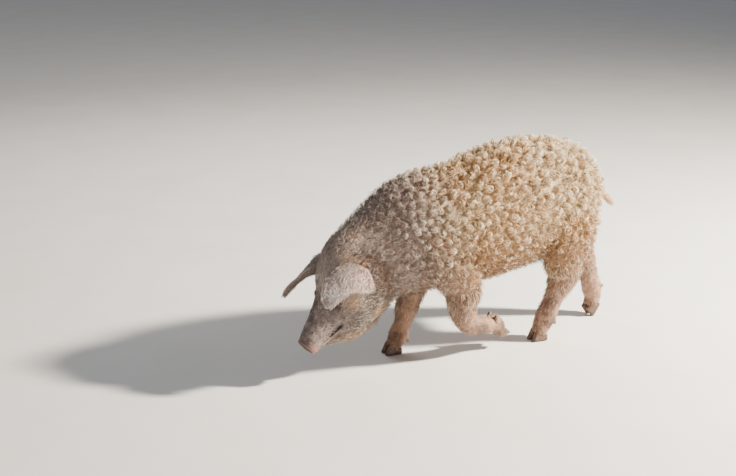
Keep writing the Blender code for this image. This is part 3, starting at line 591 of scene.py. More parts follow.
def shape_head(body):
    """Lids, sockets, mouth line, lips, nostrils and the folds of the face."""
    mesh = body.data
    points = coordinates(mesh)
    normals = vertex_normals(mesh)
    for side, centre, facing, slit in eyes():
        rise = np.cross(facing, slit)
        offset = points - centre
        out = offset @ facing
        x = offset @ slit
        y = offset @ rise
        near = (np.linalg.norm(offset, axis=1) < LID_REACH) & (out > -0.002)
        flat = np.hypot(x / LID_OPENING, y / LID_HALF_HEIGHT)
        around = np.hypot(x, y)
        dome = np.sqrt(np.maximum((EYE_RADIUS + LID_THICKNESS * 0.8) ** 2 - around ** 2, 0))
        lid = np.maximum(dome, out)
        inside = 1 / (1 + np.exp((flat - 1.0) * 9))
        depth = lid * (1 - inside) + (dome - LID_SLIT_DEPTH) * inside
        rim = RIM_HEIGHT * bell(flat - 1.35, 0.22)
        fold = -LID_FOLD_DEPTH * bell(around - LID_FOLD_PLACE, LID_FOLD_WIDTH) * (y * side < 0.004)
        target = depth + rim + fold
        points[near] += np.outer((target - out)[near], facing)
    front, corner = np.array(MOUTH_FRONT), np.array(MOUTH_CORNER)
    length = np.linalg.norm(corner - front)
    line = (corner - front) / length
    plain = unturned(points)
    offset = plain[:, [0, 2]] - front
    run = offset @ line
    height = offset @ np.array([-line[1], line[0]])
    fade = 1 / (1 + np.exp((run - length) / 0.002)) * (run > 0)
    head = plain[:, 0] < -0.40
    opened = 0.35 + 0.65 * np.clip(run / length, 0, 1) ** 2
    groove = -MOUTH_DEPTH * opened * bell(height, MOUTH_WIDTH * (0.6 + 0.7 * opened))
    groove -= MOUTH_PIT * bell(np.hypot(run - length, height), MOUTH_PIT_WIDTH)
    upper_lip = bell(height - LIP_WIDTH, LIP_WIDTH * 0.6)
    lower_lip = bell(height + LIP_WIDTH, LIP_WIDTH * 0.6)
    move = (groove + LIP_RISE * (upper_lip + lower_lip)) * fade * head
    points += normals * move[:, None]
    middle, facing, up = (np.array(v) for v in snout_frame())
    fully_turned = np.array([TURN_FULL_X - 1, 0, 0])
    world = turned(facing + fully_turned) - turned(fully_turned)
    for side in (-1, 1):
        centre = middle + facing * SNOUT_AHEAD + up * NOSTRIL_RAISE
        centre[1] += side * NOSTRIL_APART
        offset = plain - centre
        across = np.stack([offset @ up, offset[:, 1]], axis=1)
        flat = np.hypot(across[:, 0] * 0.85, across[:, 1])
        near = (np.abs(offset @ facing) < 0.008) & (flat < NOSTRIL_SIZE * 2.2)
        hollow = -NOSTRIL_DEPTH / (1 + np.exp((flat - NOSTRIL_SIZE) / 0.0007))
        rim = RIM_HEIGHT * bell(flat - NOSTRIL_SIZE * 1.35, NOSTRIL_SIZE * 0.3)
        points[near] += np.outer((hollow + rim)[near], world)
    place_points(mesh, points)


def unturned(points):
    """Points of the turned head, put back as they were before its turn."""
    angle = -HEAD_TURN
    x = points[:, 0] - TURN_PIVOT_X
    plain = points.copy()
    plain[:, 0] = TURN_PIVOT_X + math.cos(angle) * x - math.sin(angle) * points[:, 1]
    plain[:, 1] = math.sin(angle) * x + math.cos(angle) * points[:, 1]
    return plain


def mouth_distance(points):
    """How far along the mouth line points are, how far off it, and its length."""
    front = np.array(MOUTH_FRONT)
    corner = np.array(MOUTH_CORNER)
    length = np.linalg.norm(corner - front)
    line = (corner - front) / length
    offset = unturned(points)[:, [0, 2]] - front
    run = np.clip(offset @ line, 0, length)
    return run, np.linalg.norm(offset - run[:, None] * line, axis=1), length


def open_skin(points):
    """0 on the eyes, the mouth line and the snout's face, which grow no hair, else 1."""
    free = np.ones(len(points))
    for _, centre, _, _ in eyes():
        free *= np.clip((np.linalg.norm(points - centre, axis=1) - BARE_EYE) / 0.004, 0, 1)
    middle, facing, _ = (np.array(v) for v in snout_frame())
    centre = np.array(turned(middle + facing * SNOUT_AHEAD))
    free *= np.clip((np.linalg.norm(points - centre, axis=1) - SNOUT_RADIUS * 1.05) / 0.010, 0, 1)
    run, away, length = mouth_distance(points)
    return free * np.clip((away - 0.0045 - 0.0075 * (run / length) ** 3) / 0.003, 0, 1)


def dark_skin_and_shade(points):
    """1 round the slit of each eye and in the mouth line, which widens to its corner, else 0: dark lid skin
    with painted shadow round the eyes, and painted shade in the mouth's crease.
    """
    dark = np.zeros(len(points))
    for _, centre, facing, slit in eyes():
        offset = points - centre
        flat = np.hypot(offset @ slit / DARK_LID_AND_SHADE_LENGTH, offset @ np.cross(facing, slit) / DARK_LID_AND_SHADE_HEIGHT)
        near = (np.linalg.norm(offset, axis=1) < 0.034) & (offset @ facing > 0)
        dark = np.maximum(dark, np.clip((1.35 - flat) / 0.5, 0, 1) * near)
    run, away, length = mouth_distance(points)
    reach = 0.0026 + 0.0065 * np.clip(run / length, 0, 1) ** 3
    mouth = np.clip((reach * 1.5 - away) / (reach * 0.7), 0, 1) * (points[:, 0] < -0.42)
    return np.maximum(dark, mouth)


def join_ears(body):
    ears = [ear(side) for side in EAR_EDGES]
    group = bpy.data.collections.new("tools")
    for thing in ears:
        group.objects.link(thing)
    change = body.modifiers.new("join", "BOOLEAN")
    change.operation = "UNION"
    change.operand_type = "COLLECTION"
    change.collection = group
    change.solver = "MANIFOLD"
    apply_modifiers(body)
    bpy.data.collections.remove(group)
    remove(ears)


def build_skin(body_map):
    body = flesh()
    edit_mesh(body.data, finer_head)
    shape_head(body)
    raise_crest(body, body_map)
    curls = lay_out_curls(body, body_map)
    raise_undercoat(body, body_map, curls)
    join_ears(body)
    body.data.shade_smooth()
    return body, curls


class Map:
    """Samples of every loft, to look up the coat, its lie and its unwrap at a point."""

    def __init__(self):
        self.points, self.coats, self.lies, self.places = [], [], [], []
        self.charts = []
        for chart, (kind, parts) in enumerate(self.lofts()):
            self.sample(chart, kind, parts)
        self.points = np.array(self.points)
        self.coats = np.array(self.coats)
        self.lies = np.array(self.lies)
        self.places = np.array(self.places)
        self.charts = np.array(self.charts)
        self.tree = KDTree(len(self.points))
        for index, point in enumerate(self.points):
            self.tree.insert(point, index)
        self.tree.balance()

    def lofts(self):
        yield "body", TRUNK
        yield "body", JAW
        for name, joints in LIMBS.items():
            yield "limb", joints + [foot_end(FEET[name.removeprefix("leg_")])]
        yield "limb", TAIL
        yield "ear", "left"
        yield "ear", "right"

    def sample(self, chart, kind, parts):
        if kind == "ear":
            last = len(EAR_CUP) - 1
            for place in np.linspace(0, last, MAP_EAR_ROWS):
                leaf, _, ahead = ear_leaf(parts, place)
                lie = turned_way(leaf[0], ahead)
                coat = EAR_ROOT_COAT * max(0.0, 1 - place / EAR_ROOT_END)
                for across, point in enumerate(turned(leaf)):
                    self.add(point, coat, lie, chart, place / last, across / (EAR_POINTS - 1))
            return
        last = len(parts) - 1
        ring_at = body_ring if kind == "body" else limb_ring
        for place in places(parts, MAP_STEPS):
            ring, coat = ring_at(parts, place, COAT_DEPTH)
            step = min(place + SMALL_STEP, last)
            later, _ = ring_at(parts, step, COAT_DEPTH)
            earlier, _ = ring_at(parts, step - 2 * SMALL_STEP, COAT_DEPTH)
            lies = later - earlier
            if kind == "body":
                lies = unit(earlier - later) + np.array([0, 0, -0.45])
            for turn, (point, lie) in enumerate(zip(ring, lies)):
                self.add(point, coat, lie, chart, place / last, turn / len(ring))

    def add(self, point, coat, lie, chart, u, v):
        self.points.append(point)
        self.coats.append(coat)
        self.lies.append(lie / np.linalg.norm(lie))
        self.places.append((u, v))
        self.charts.append(chart)

    def nearest(self, points):
        return np.array([self.tree.find(point)[1] for point in points])


def surface_samples(body, count, rng, weights=None):
    """Random points on the skin, with their smooth outward directions.

    The weights say how many points each vertex draws to it.
    """
    mesh = body.data
    mesh.calc_loop_triangles()
    triangles = np.empty(len(mesh.loop_triangles) * 3, dtype=np.int64)
    mesh.loop_triangles.foreach_get("vertices", triangles)
    triangles = triangles.reshape(-1, 3)
    points = coordinates(mesh)
    normals = vertex_normals(mesh)
    corners = points[triangles]
    crosses = np.cross(corners[:, 1] - corners[:, 0], corners[:, 2] - corners[:, 0])
    areas = np.linalg.norm(crosses, axis=1)
    if weights is not None:
        areas = areas * weights[triangles].mean(axis=1)
    picks = rng.choice(len(areas), count, p=areas / areas.sum())
    mix = rng.dirichlet((1, 1, 1), count)
    spots = np.einsum("ij,ijk->ik", mix, corners[picks])
    facings = np.einsum("ij,ijk->ik", mix, normals[triangles[picks]])
    facings /= np.linalg.norm(facings, axis=1)[:, None]
    return spots, facings


def spaced(points, distances):
    """A choice of points that keep their own distances from each other."""
    cell = distances.max()
    cells = {}
    kept = []
    for index, point in enumerate(points):
        key = tuple(np.floor(point / cell).astype(int))
        clear = True
        for dx in (-1, 0, 1):
            for dy in (-1, 0, 1):
                for dz in (-1, 0, 1):
                    for other in cells.get((key[0] + dx, key[1] + dy, key[2] + dz), ()):
                        if np.sum((points[other] - point) ** 2) < distances[index] ** 2:
                            clear = False
        if clear:
            cells.setdefault(key, []).append(index)
            kept.append(index)
    return np.array(kept)


def unit(vectors):
    return vectors / np.maximum(np.linalg.norm(vectors, axis=-1, keepdims=True), 1e-9)


def flatten_on(vectors, normals):
    """Vectors without their part along the normals, as unit vectors."""
    along_normal = np.sum(vectors * normals, axis=-1, keepdims=True)
    return unit(vectors - along_normal * normals)


def set_attribute(mesh, name, values):
    attribute = mesh.attributes.new(name, "FLOAT", "POINT")
    attribute.data.foreach_set("value", np.asarray(values, dtype=np.float32))


def lock_mesh(name, lines, widths, heights, tones, unwrap):
    """One mesh of three-sided tapered locks. Lines are (lock, station, xyz)."""
    count, stations, _ = lines.shape
    ahead = unit(np.gradient(lines, axis=1))
    guide = np.broadcast_to(np.array([0.31, 0.77, 0.56]), ahead.shape)
    aside = unit(np.cross(ahead, guide))
    above = np.cross(aside, ahead)
    angles = np.array([math.pi / 2, math.pi * 7 / 6, math.pi * 11 / 6])
    rings = (
        lines[:, :, None, :]
        + aside[:, :, None, :] * (np.cos(angles)[None, None, :, None] * widths[:, :, None, None] / 2)
        + above[:, :, None, :] * (np.sin(angles)[None, None, :, None] * widths[:, :, None, None] / 2)
    )
    vertices = rings.reshape(-1, 3)
    base = (np.arange(count) * stations * 3)[:, None, None]
    row = (np.arange(stations - 1) * 3)[None, :, None]
    side = np.arange(3)[None, None, :]
    after = (side + 1) % 3
    here = base + row
    quads = np.stack([here + side, here + after, here + 3 + after, here + 3 + side], axis=-1)
    quads = quads.reshape(-1, 4)
    root_cap = np.stack([base[:, 0, 0] + 2, base[:, 0, 0] + 1, base[:, 0, 0]], axis=1)
    end = base[:, 0, 0] + (stations - 1) * 3
    tip_cap = np.stack([end, end + 1, end + 2], axis=1)
    caps = np.concatenate([root_cap, tip_cap])
    mesh = bpy.data.meshes.new(name)
    loops = np.concatenate([quads.ravel(), caps.ravel()])
    mesh.vertices.add(len(vertices))
    mesh.vertices.foreach_set("co", vertices.ravel())
    mesh.loops.add(len(loops))
    mesh.loops.foreach_set("vertex_index", loops)
    mesh.polygons.add(len(quads) + len(caps))
    starts = np.concatenate([np.arange(len(quads)) * 4, len(quads) * 4 + np.arange(len(caps)) * 3])
    mesh.polygons.foreach_set("loop_start", starts)
    mesh.update(calc_edges=True)
    mesh.shade_smooth()
    set_attribute(mesh, "lock_height", np.repeat(heights.ravel(), 3))
    set_attribute(mesh, "lock_tone", np.repeat(tones, stations * 3))
    station_share = np.broadcast_to(np.linspace(0, 1, stations)[None, :, None], (count, stations, 3))
    ring_share = np.broadcast_to(np.array([0.0, 0.5, 1.0])[None, None, :], (count, stations, 3))
    u = unwrap[:, 0][:, None, None] + (station_share - 0.5) * UV_PATCH
    v = unwrap[:, 1][:, None, None] + (ring_share - 0.5) * UV_PATCH
    at_vertex = np.stack([u.ravel(), v.ravel()], axis=1)
    layer = mesh.uv_layers.new(name="OFBake")
    layer.data.foreach_set("uv", at_vertex[loops].ravel().astype(np.float32))
    return add_object(name, mesh)


def curl_share(points):
    """How curly the coat is: fully on the body, less and less towards the face and feet."""
    on_neck = np.clip((points[:, 0] - NECK_CURLS_END) / (NECK_CURLS_START - NECK_CURLS_END), 0, 1)
    on_leg = np.clip((points[:, 2] - LEG_CURLS_END) / (LEG_CURLS_START - LEG_CURLS_END), 0, 1)
    return np.minimum(on_neck, 0.1 + 0.9 * on_leg)


Curls = namedtuple("Curls", "points facings lies coats curly sizes tree")


def lay_out_curls(body, body_map):
    """Where the curls sit, how the coat lies there, and how curly and large they are."""
    rng = np.random.default_rng(SEED)
    spots, facings = surface_samples(body, CURL_CANDIDATES, rng)
    found = body_map.nearest(spots)
    coated = body_map.coats[found] > 0.25
    spots, facings, found = spots[coated], facings[coated], found[coated]
    shrink = CURL_SMALLEST + (1 - CURL_SMALLEST) * curl_share(spots)
    kept = spaced(spots, CURL_SPACING * shrink * rng.uniform(0.90, 1.10, len(spots)))
    points = spots[kept]
    tree = KDTree(len(kept))
    for index, point in enumerate(points):
        tree.insert(point, index)
    tree.balance()
    sizes = CURL_RADIUS * shrink[kept] * rng.uniform(0.80, 1.10, len(kept))
    lies = body_map.lies[found[kept]]
    coats = body_map.coats[found[kept]]
    return Curls(points, facings[kept], lies, coats, curl_share(points), sizes, tree)


def raise_crest(body, body_map):
    """More depth of wool along the top of the neck and withers."""
    mesh = body.data
    points = coordinates(mesh)
    normals = vertex_normals(mesh)
    upward = np.clip((normals[:, 2] - 0.15) / 0.75, 0, 1)
    coats = body_map.coats[body_map.nearest(points)]
    height = CREST_RISE * bell(points[:, 0] - CREST_PLACE, CREST_REACH) * upward * coats
    place_points(mesh, points + normals * height[:, None])


def raise_undercoat(body, body_map, curls):
    """Low domes in the skin under the curls, and wool that fills the neck between its waves."""
    mesh = body.data
    points = coordinates(mesh)
    normals = vertex_normals(mesh)
    nearest = [curls.tree.find(point) for point in points]
    owner = np.array([found[1] for found in nearest])
    distance = np.array([found[2] for found in nearest])
    share = np.clip(1 - (distance / curls.sizes[owner]) ** 2, 0, 1)
    coats = body_map.coats[body_map.nearest(points)]
    curly = curl_share(points)
    height = COAT_DEPTH * coats * (CURL_DOME * curly * share + NECK_RAISE * (1 - curly))
    place_points(mesh, points + normals * height[:, None])


def curled_lines(roots, owner, curls, coat, rng):
    """Lines that rise from their roots and swirl round the tilted axis of their curl."""
    count = len(roots)
    curl_count = len(curls.points)
    n = curls.facings
    a = flatten_on(curls.lies, n)
    b = np.cross(n, a)
    tilt = np.clip(rng.normal(0, CURL_TILT, (curl_count, 2)), -1.4, 1.4)
    axis = unit(n + a * (tilt[:, :1] + 0.25) + b * tilt[:, 1:])
    u = flatten_on(a, axis)
    v = np.cross(axis, u)
    n, a, axis, u, v = n[owner], a[owner], axis[owner], u[owner], v[owner]
    offset = roots - curls.points[owner]
    x = np.sum(offset * u, axis=1)
    y = np.sum(offset * v, axis=1)
    size = curls.sizes[owner] * rng.uniform(0.70, 1.06, count)
    low = np.arccos(np.clip(np.hypot(x, y) / size, 0.10, 0.97))[:, None]
    spin = np.where(rng.random(curl_count) < 0.5, -1.0, 1.0)[owner]
    spin = spin * np.where(rng.random(count) < 0.12, -1, 1)
    turns = rng.uniform(1.6, 3.6, curl_count)[owner] + rng.normal(0, 0.6, count)
    t = np.linspace(0, 1, CURL_STATIONS)[None, :]
    latitude = low + (np.minimum(low + rng.uniform(0.1, 0.8, count)[:, None], 1.45) - low) * t
    start = np.arctan2(y, x) + rng.normal(0, 0.25, count)
    angle = start[:, None] + (spin * turns)[:, None] * t
    tall = COAT_DEPTH * coat * rng.uniform(0.92, 1.20, curl_count)[owner]
    ball = (
        u[:, None, :] * (size[:, None] * np.cos(latitude) * np.cos(angle))[..., None]
        + v[:, None, :] * (size[:, None] * np.cos(latitude) * np.sin(angle))[..., None]
        + axis[:, None, :] * (size[:, None] * np.sin(latitude))[..., None]
    )
    outward = np.sum(ball * n[:, None, :], axis=2)
    fitted = np.clip(outward / size[:, None], 0.12, 1.0) * tall[:, None]
    flare = 0.0035 * np.maximum(t - 0.7, 0) / 0.3 * rng.uniform(-0.5, 1.0, count)[:, None]
    shift = (fitted + flare - outward)[..., None] * n[:, None, :] + (0.25 * fitted)[..., None] * a[:, None, :]
    rise = np.clip(t / 0.30, 0, 1)
    rise = (rise * rise * (3 - 2 * rise))[..., None]
    phase = rng.uniform(0, 6.28, (count, 3, 1))
    speed = rng.uniform(8, 17, (count, 3, 1))
    wobble = 0.0012 * np.sin(speed * t[:, None, :] + phase).transpose(0, 2, 1) * (0.4 + t[..., None])
    lines = curls.points[owner][:, None, :] + (ball + shift) * rise + offset[:, None, :] * (1 - rise) + wobble
    return lines, fitted * rise[..., 0] / np.maximum(tall[:, None], 1e-6)


def swept(roots, *moves):
    """Lines from roots; a move is a direction for each root and its distance at each station."""
    lines = roots[:, None, :]
    for direction, distance in moves:
        lines = lines + direction[:, None, :] * distance[..., None]
    return lines


def wavy_lines(roots, facings, lies, coat, rng):
    """Lines that lie along the coat in short, untidy waves."""
    count = len(roots)
    t = np.linspace(0, 1, CURL_STATIONS)[None, :]
    way = flatten_on(lies + rng.normal(0, 0.42, roots.shape), facings)
    across = np.cross(facings, way)
    length = WAVY_LENGTH * (0.35 + 0.65 * coat) * rng.uniform(0.7, 1.25, count)
    waves = rng.uniform(8, 15, count)[:, None]
    wave = 0.0032 * np.sin(t * waves + rng.uniform(0, 6.28, count)[:, None]) * (0.3 + t)
    lifted = WAVY_RISE * coat[:, None] * np.sin(np.minimum(t * 1.15, 1) * math.pi * 0.66)
    lifted = lifted * rng.uniform(0.7, 1.3, count)[:, None]
    on_the_way = (way, length[:, None] * t + wave * 0.5)
    lines = swept(roots, on_the_way, (across, wave), (facings, lifted + wave * 0.3))
    return lines, lifted / np.maximum(WAVY_RISE * coat[:, None], 1e-6)


def curl_locks(body, body_map, curls, weights):
    """Locks that swirl in balls over the body, and lie in waves on the neck and legs."""
    rng = np.random.default_rng(SEED + 2)
    roots, facings = surface_samples(body, CURL_LOCKS, rng, weights)
    found = body_map.nearest(roots)
    roots = roots - facings * 0.002
    coat = body_map.coats[found]
    owner = np.array([curls.tree.find(point)[1] for point in roots])
    curled, curled_height = curled_lines(roots, owner, curls, coat, rng)
    wavy, wavy_height = wavy_lines(roots, facings, body_map.lies[found], coat, rng)
    curly = np.clip(curl_share(roots) * 1.25, 0, 1)
    lines = curled * curly[:, None, None] + wavy * (1 - curly[:, None, None])
    heights = curled_height * curly[:, None] + wavy_height * (1 - curly[:, None])
    profile = np.interp(np.linspace(0, 1, CURL_STATIONS), [0, 0.2, 0.7, 1.0], [0.8, 1.0, 0.85, 0.12])
    sizes = LOCK_WIDTH * (0.48 + 0.52 * curly) * rng.uniform(0.55, 1.30, len(roots))
    curl_tone = rng.normal(size=len(curls.points))[owner]
    tones = np.clip(0.5 + 0.20 * curl_tone + 0.20 * rng.normal(size=len(roots)), 0, 1)
    return lines, profile[None, :] * sizes[:, None], heights, tones, found


def tapered(width, t, stops, shares, rng, count):
    """Widths along locks that taper as their stops say, each with a width of its own."""
    return width * np.interp(t, stops, shares) * rng.uniform(*WIDTH_SPREAD, count)[:, None]


def fuzz_locks(body, body_map, weights):
    """Fine loose hairs all over the coat, which break its outline and fill its gaps."""
    rng = np.random.default_rng(SEED + 3)
    count = FUZZ_LOCKS
    roots, facings = surface_samples(body, count, rng, weights)
    found = body_map.nearest(roots)
    coat = body_map.coats[found]
    t = np.linspace(0, 1, HAIR_STATIONS)[None, :]
    way = flatten_on(body_map.lies[found] * 0.6 + rng.normal(0, 0.8, roots.shape), facings)
    across = np.cross(facings, way)
    length = FUZZ_SIZE[0] * (0.5 + 0.5 * coat) * rng.uniform(0.6, 1.4, count)
    curve = rng.uniform(-1.6, 1.6, count)[:, None] * t
    tall = COAT_DEPTH * coat * (0.50 + 0.60 * curl_share(roots)) * rng.uniform(*FUZZ_STAND, count)
    lifted = tall[:, None] * np.sin(t * math.pi * 0.55)
    run = length[:, None] * t
    bent = ((way, run * np.cos(curve)), (across, run * np.sin(curve)))
    lines = swept(roots, *bent, (facings, lifted - 0.002 * (1 - t)))
    widths = tapered(FUZZ_SIZE[1], t, [0, 0.4, 1], [1.0, 1.0, 0.15], rng, count)
    tones = np.clip(0.62 + 0.2 * rng.normal(size=count), 0, 1)
    heights = np.clip(lifted / (COAT_DEPTH * np.maximum(coat[:, None], 0.1)), 0, 1)
    return lines, widths, heights, tones, found


def short_locks(body, body_map, count, size, weights, rng, raise_by):
    """Short tufts that lie along the coat's way; size is their length and width."""
    spots, facings = surface_samples(body, count, rng, weights)
    found = body_map.nearest(spots)
    lies = flatten_on(body_map.lies[found] + rng.normal(0, 0.30, spots.shape), facings)
    lengths = (size[0] + 0.012 * body_map.coats[found]) * rng.uniform(0.6, 1.35, count)
    t = np.linspace(0, 1, TUFT_STATIONS)[None, :]
    bend = 0.16 * lengths[:, None] * t ** 2 * rng.normal(0, 1, count)[:, None]
    upward = lengths[:, None] * raise_by * np.sin(t * math.pi * 0.6)
    upward = upward * rng.uniform(0.5, 1.4, count)[:, None] - 0.001
    across = np.cross(facings, lies)
    lines = swept(spots, (lies, lengths[:, None] * t), (across, bend), (facings, upward))
    widths = tapered(size[1], t, [0, 0.5, 1], [0.8, 1.0, 0.1], rng, count)
    tones = np.clip(0.5 + 0.28 * rng.normal(size=count), 0, 1)
    return lines, widths, np.broadcast_to(t, lines.shape[:2]), tones, found


def hairs(roots, ways, rng, lengths, sag):
    """Straight hairs of random lengths, which sag towards their tips."""
    roots = np.array(roots)
    lengths = rng.uniform(*lengths, len(roots))[:, None]
    t = np.linspace(0, 1, HAIR_STATIONS)[None, :]
    lines = swept(roots, (unit(np.array(ways)), lengths * t))
    lines[..., 2] -= sag * lengths * t ** 2
    return roots, t, lines


def root_tufts(body_map):
    """Longer, untidy hair that runs from the head on to the root of each ear."""
    rng = np.random.default_rng(SEED + 6)
    roots, ways = [], []
    for side in EAR_EDGES:
        for place in rng.uniform(0.02, 1.05, ROOT_TUFTS):
            leaf, depth, ahead = ear_leaf(side, place)
            index = int(rng.integers(3, EAR_POINTS - 3))
            away = depth[EAR_POINTS // 2] / np.linalg.norm(depth[EAR_POINTS // 2])
            root = leaf[index] + depth[index]
            way = ahead * rng.uniform(0.5, 1.0) + away * rng.uniform(0.15, 0.55)
            roots.append(turned(root))
            ways.append(turned_way(root, way + rng.normal(0, 0.22, 3)))
    roots, t, lines = hairs(roots, ways, rng, (0.009, 0.020), 0.25)
    count = len(roots)
    speed = rng.uniform(5, 10, (count, 1, 3))
    lines += 0.0015 * np.sin(t[..., None] * speed + rng.uniform(0, 6, (count, 1, 3)))
    widths = tapered(0.0012, t, [0, 0.4, 1], [0.9, 1.0, 0.1], rng, count)
    tones = np.clip(0.55 + 0.25 * rng.normal(size=count), 0, 1)
    return lines, widths, np.broadcast_to(t, lines.shape[:2]), tones, body_map.nearest(roots)


def ear_fringe(body_map):
    """Fine pale hair along both edges of each ear."""
    rng = np.random.default_rng(SEED + 4)
    roots, ways = [], []
    for side in EAR_EDGES:
        for place in rng.uniform(0.7, len(EAR_CUP) - 1.02, EAR_FRINGE):
            leaf, _, ahead = ear_leaf(side, place)
            edge, inner = (0, 4) if rng.random() < 0.45 else (-1, -5)
            root = leaf[edge] * 0.93 + leaf[inner] * 0.07
            outward = (leaf[edge] - leaf[inner]) / np.linalg.norm(leaf[edge] - leaf[inner])
            way = outward * rng.uniform(0.3, 1.0) + ahead * rng.uniform(0.3, 1.1)
            roots.append(turned(root))
            ways.append(turned_way(root, way + rng.normal(0, 0.18, 3)))
    roots, t, lines = hairs(roots, ways, rng, (0.003, 0.0085), 0.15)
    widths = tapered(0.0010, t, [0, 0.4, 1], [1.0, 0.9, 0.1], rng, len(roots))
    tones = np.clip(0.75 + 0.2 * rng.normal(size=len(roots)), 0, 1)
    return lines, widths, np.broadcast_to(t, lines.shape[:2]), tones, body_map.nearest(roots)


def eyelashes(body_map):
    """Pale lashes along the upper lid of each eye."""
    rng = np.random.default_rng(SEED + 5)
    roots, ways = [], []
    brow_x, brow_z = TRUNK["brow"].top
    for _, centre, facing, slit in eyes():
        rise = np.cross(facing, slit)
        if rise @ (turned((brow_x, 0, brow_z)) - centre) < 0:
            rise = -rise
        for share in np.linspace(-0.9, 0.9, LASHES):
            across = slit * LID_OPENING * share
            upper = rise * LID_HALF_HEIGHT * math.sqrt(1 - share ** 2) * 1.25
            roots.append(centre + across + upper + facing * (EYE_RADIUS * 0.92))
            way = facing * 0.9 + rise * rng.uniform(0.1, 0.6) + slit * share * 0.6
            ways.append(way + rng.normal(0, 0.1, 3))
    roots, t, lines = hairs(roots, ways, rng, (0.005, 0.009), 0.35)
    count = len(roots)
    widths = 0.0007 * np.interp(t, [0, 1], [1.0, 0.15]) * np.ones((count, 1))
    shares = np.broadcast_to(t, lines.shape[:2])
    return lines, widths, shares, np.full(count, 0.6), body_map.nearest(roots)


def coat_pieces(name, locks, body_map, material, slot):
    """Split locks into pieces under the triangle limit, each with its own unwrap."""
    lines, widths, heights, tones, found = locks
    triangles = (lines.shape[1] - 1) * 6 + 2
    most = int(MOST_TRIANGLES / triangles)
    order = np.lexsort((lines[:, 0, 0], body_map.charts[found] >= FIRST_LEG))
    pieces = []
    parts = math.ceil(len(order) / most)
    for index, part in enumerate(np.array_split(order, parts)):
        places = body_map.places[found[part]]
        charts = body_map.charts[found[part]]
        names = sorted(set(charts))
        unwrap = np.empty((len(part), 2))
        for column, chart in enumerate(names):
            mine = charts == chart
            low = places[mine].min(axis=0)
            high = places[mine].max(axis=0)
            share = (places[mine] - low) / np.maximum(high - low, 1e-6)
            jitter = np.random.default_rng(SEED + index).uniform(-0.006, 0.006, share.shape)
            share = np.clip(share * 0.96 + 0.02 + jitter, 0.004, 0.996)
            unwrap[mine, 0] = (column + share[:, 0]) / len(names)
            unwrap[mine, 1] = share[:, 1]
        chosen = [values[part] for values in (lines, widths, heights, tones)]
        thing = lock_mesh(f"{name}_{index + 1}", *chosen, unwrap)
        thing.data.materials.append(material)
        thing["slot"] = slot
        pieces.append(thing)
    return pieces


class Shader:
    """A short way to write a material's nodes."""

    def __init__(self, name):
        self.material = bpy.data.materials.new(name)
        self.material.use_nodes = True
        self.tree = self.material.node_tree
        self.shader = self.tree.nodes["Principled BSDF"]

    def node(self, kind, inputs=(), **settings):
        made = self.tree.nodes.new(kind)
        for key, value in settings.items():
            setattr(made, key, value)
        for socket, value in dict(inputs).items():
            self.feed(made.inputs[socket], value)
        return made

    def feed(self, socket, value):
        if isinstance(value, bpy.types.NodeSocket):
            self.tree.links.new(value, socket)
        else:
            socket.default_value = value

    def set(self, **values):
        for key, value in values.items():
            self.feed(self.shader.inputs[key.replace("_", " ")], value)

    def math(self, operation, first, second=0.0, clamp=False):
        inputs = {0: first, 1: second}
        return self.node("ShaderNodeMath", inputs, operation=operation, use_clamp=clamp).outputs[0]

    def times(self, first, second):
        return self.math("MULTIPLY", first, second)

    def mix(self, share, first, second):
        made = self.node("ShaderNodeMix", data_type="RGBA", clamp_factor=True)
        self.feed(made.inputs[0], share)
        self.feed(made.inputs[6], first)
        self.feed(made.inputs[7], second)
        return made.outputs[2]

    def tint(self, tone, share, strength, second):
        """A tone, mixed with a second one by a share and its strength."""
        return self.mix(self.times(share, strength), tone, second)

    def place(self):
        return self.node("ShaderNodeTexCoord").outputs["Object"]

    def noise(self, scale, detail=4.0, roughness=0.55):
        inputs = {"Vector": self.place(), "Scale": scale, "Detail": detail, "Roughness": roughness}
        return self.node("ShaderNodeTexNoise", inputs).outputs["Fac"]

    def ramp(self, value, low, high):
        inputs = {"Value": value, "From Min": low, "From Max": high}
        return self.node("ShaderNodeMapRange", inputs, clamp=True).outputs["Result"]

    def measure(self, operation, vector):
        inputs = {0: self.place(), 1: tuple(vector)}
        return self.node("ShaderNodeVectorMath", inputs, operation=operation).outputs["Value"]

    def beyond(self, point, direction):
        """How far a place is beyond a point, in a direction."""
        return self.math("ADD", self.measure("DOT_PRODUCT", direction), -point.dot(direction))

    def distance(self, point):
        return self.measure("DISTANCE", point)

    def near(self, place, shift, inner, outer):
        """1 within the inner distance of a place, and 0 outside the outer one."""
        return self.ramp(self.distance(Vector(place) + shift), outer, inner)

    def axes(self):
        return self.node("ShaderNodeSeparateXYZ", {"Vector": self.place()}).outputs

    def attribute(self, name):
        return self.node("ShaderNodeAttribute", attribute_name=name).outputs["Fac"]

    def bump(self, height, strength, distance):
        inputs = {"Height": height, "Strength": strength, "Distance": distance}
        self.feed(self.shader.inputs["Normal"], self.node("ShaderNodeBump", inputs).outputs["Normal"])


def colour(red, green, blue):
    """A linear colour from sRGB values of 0 to 255."""
    values = []
    for part in (red, green, blue):
        share = part / 255
        values.append(share / 12.92 if share <= 0.04045 else ((share + 0.055) / 1.055) ** 2.4)
    return (*values, 1.0)


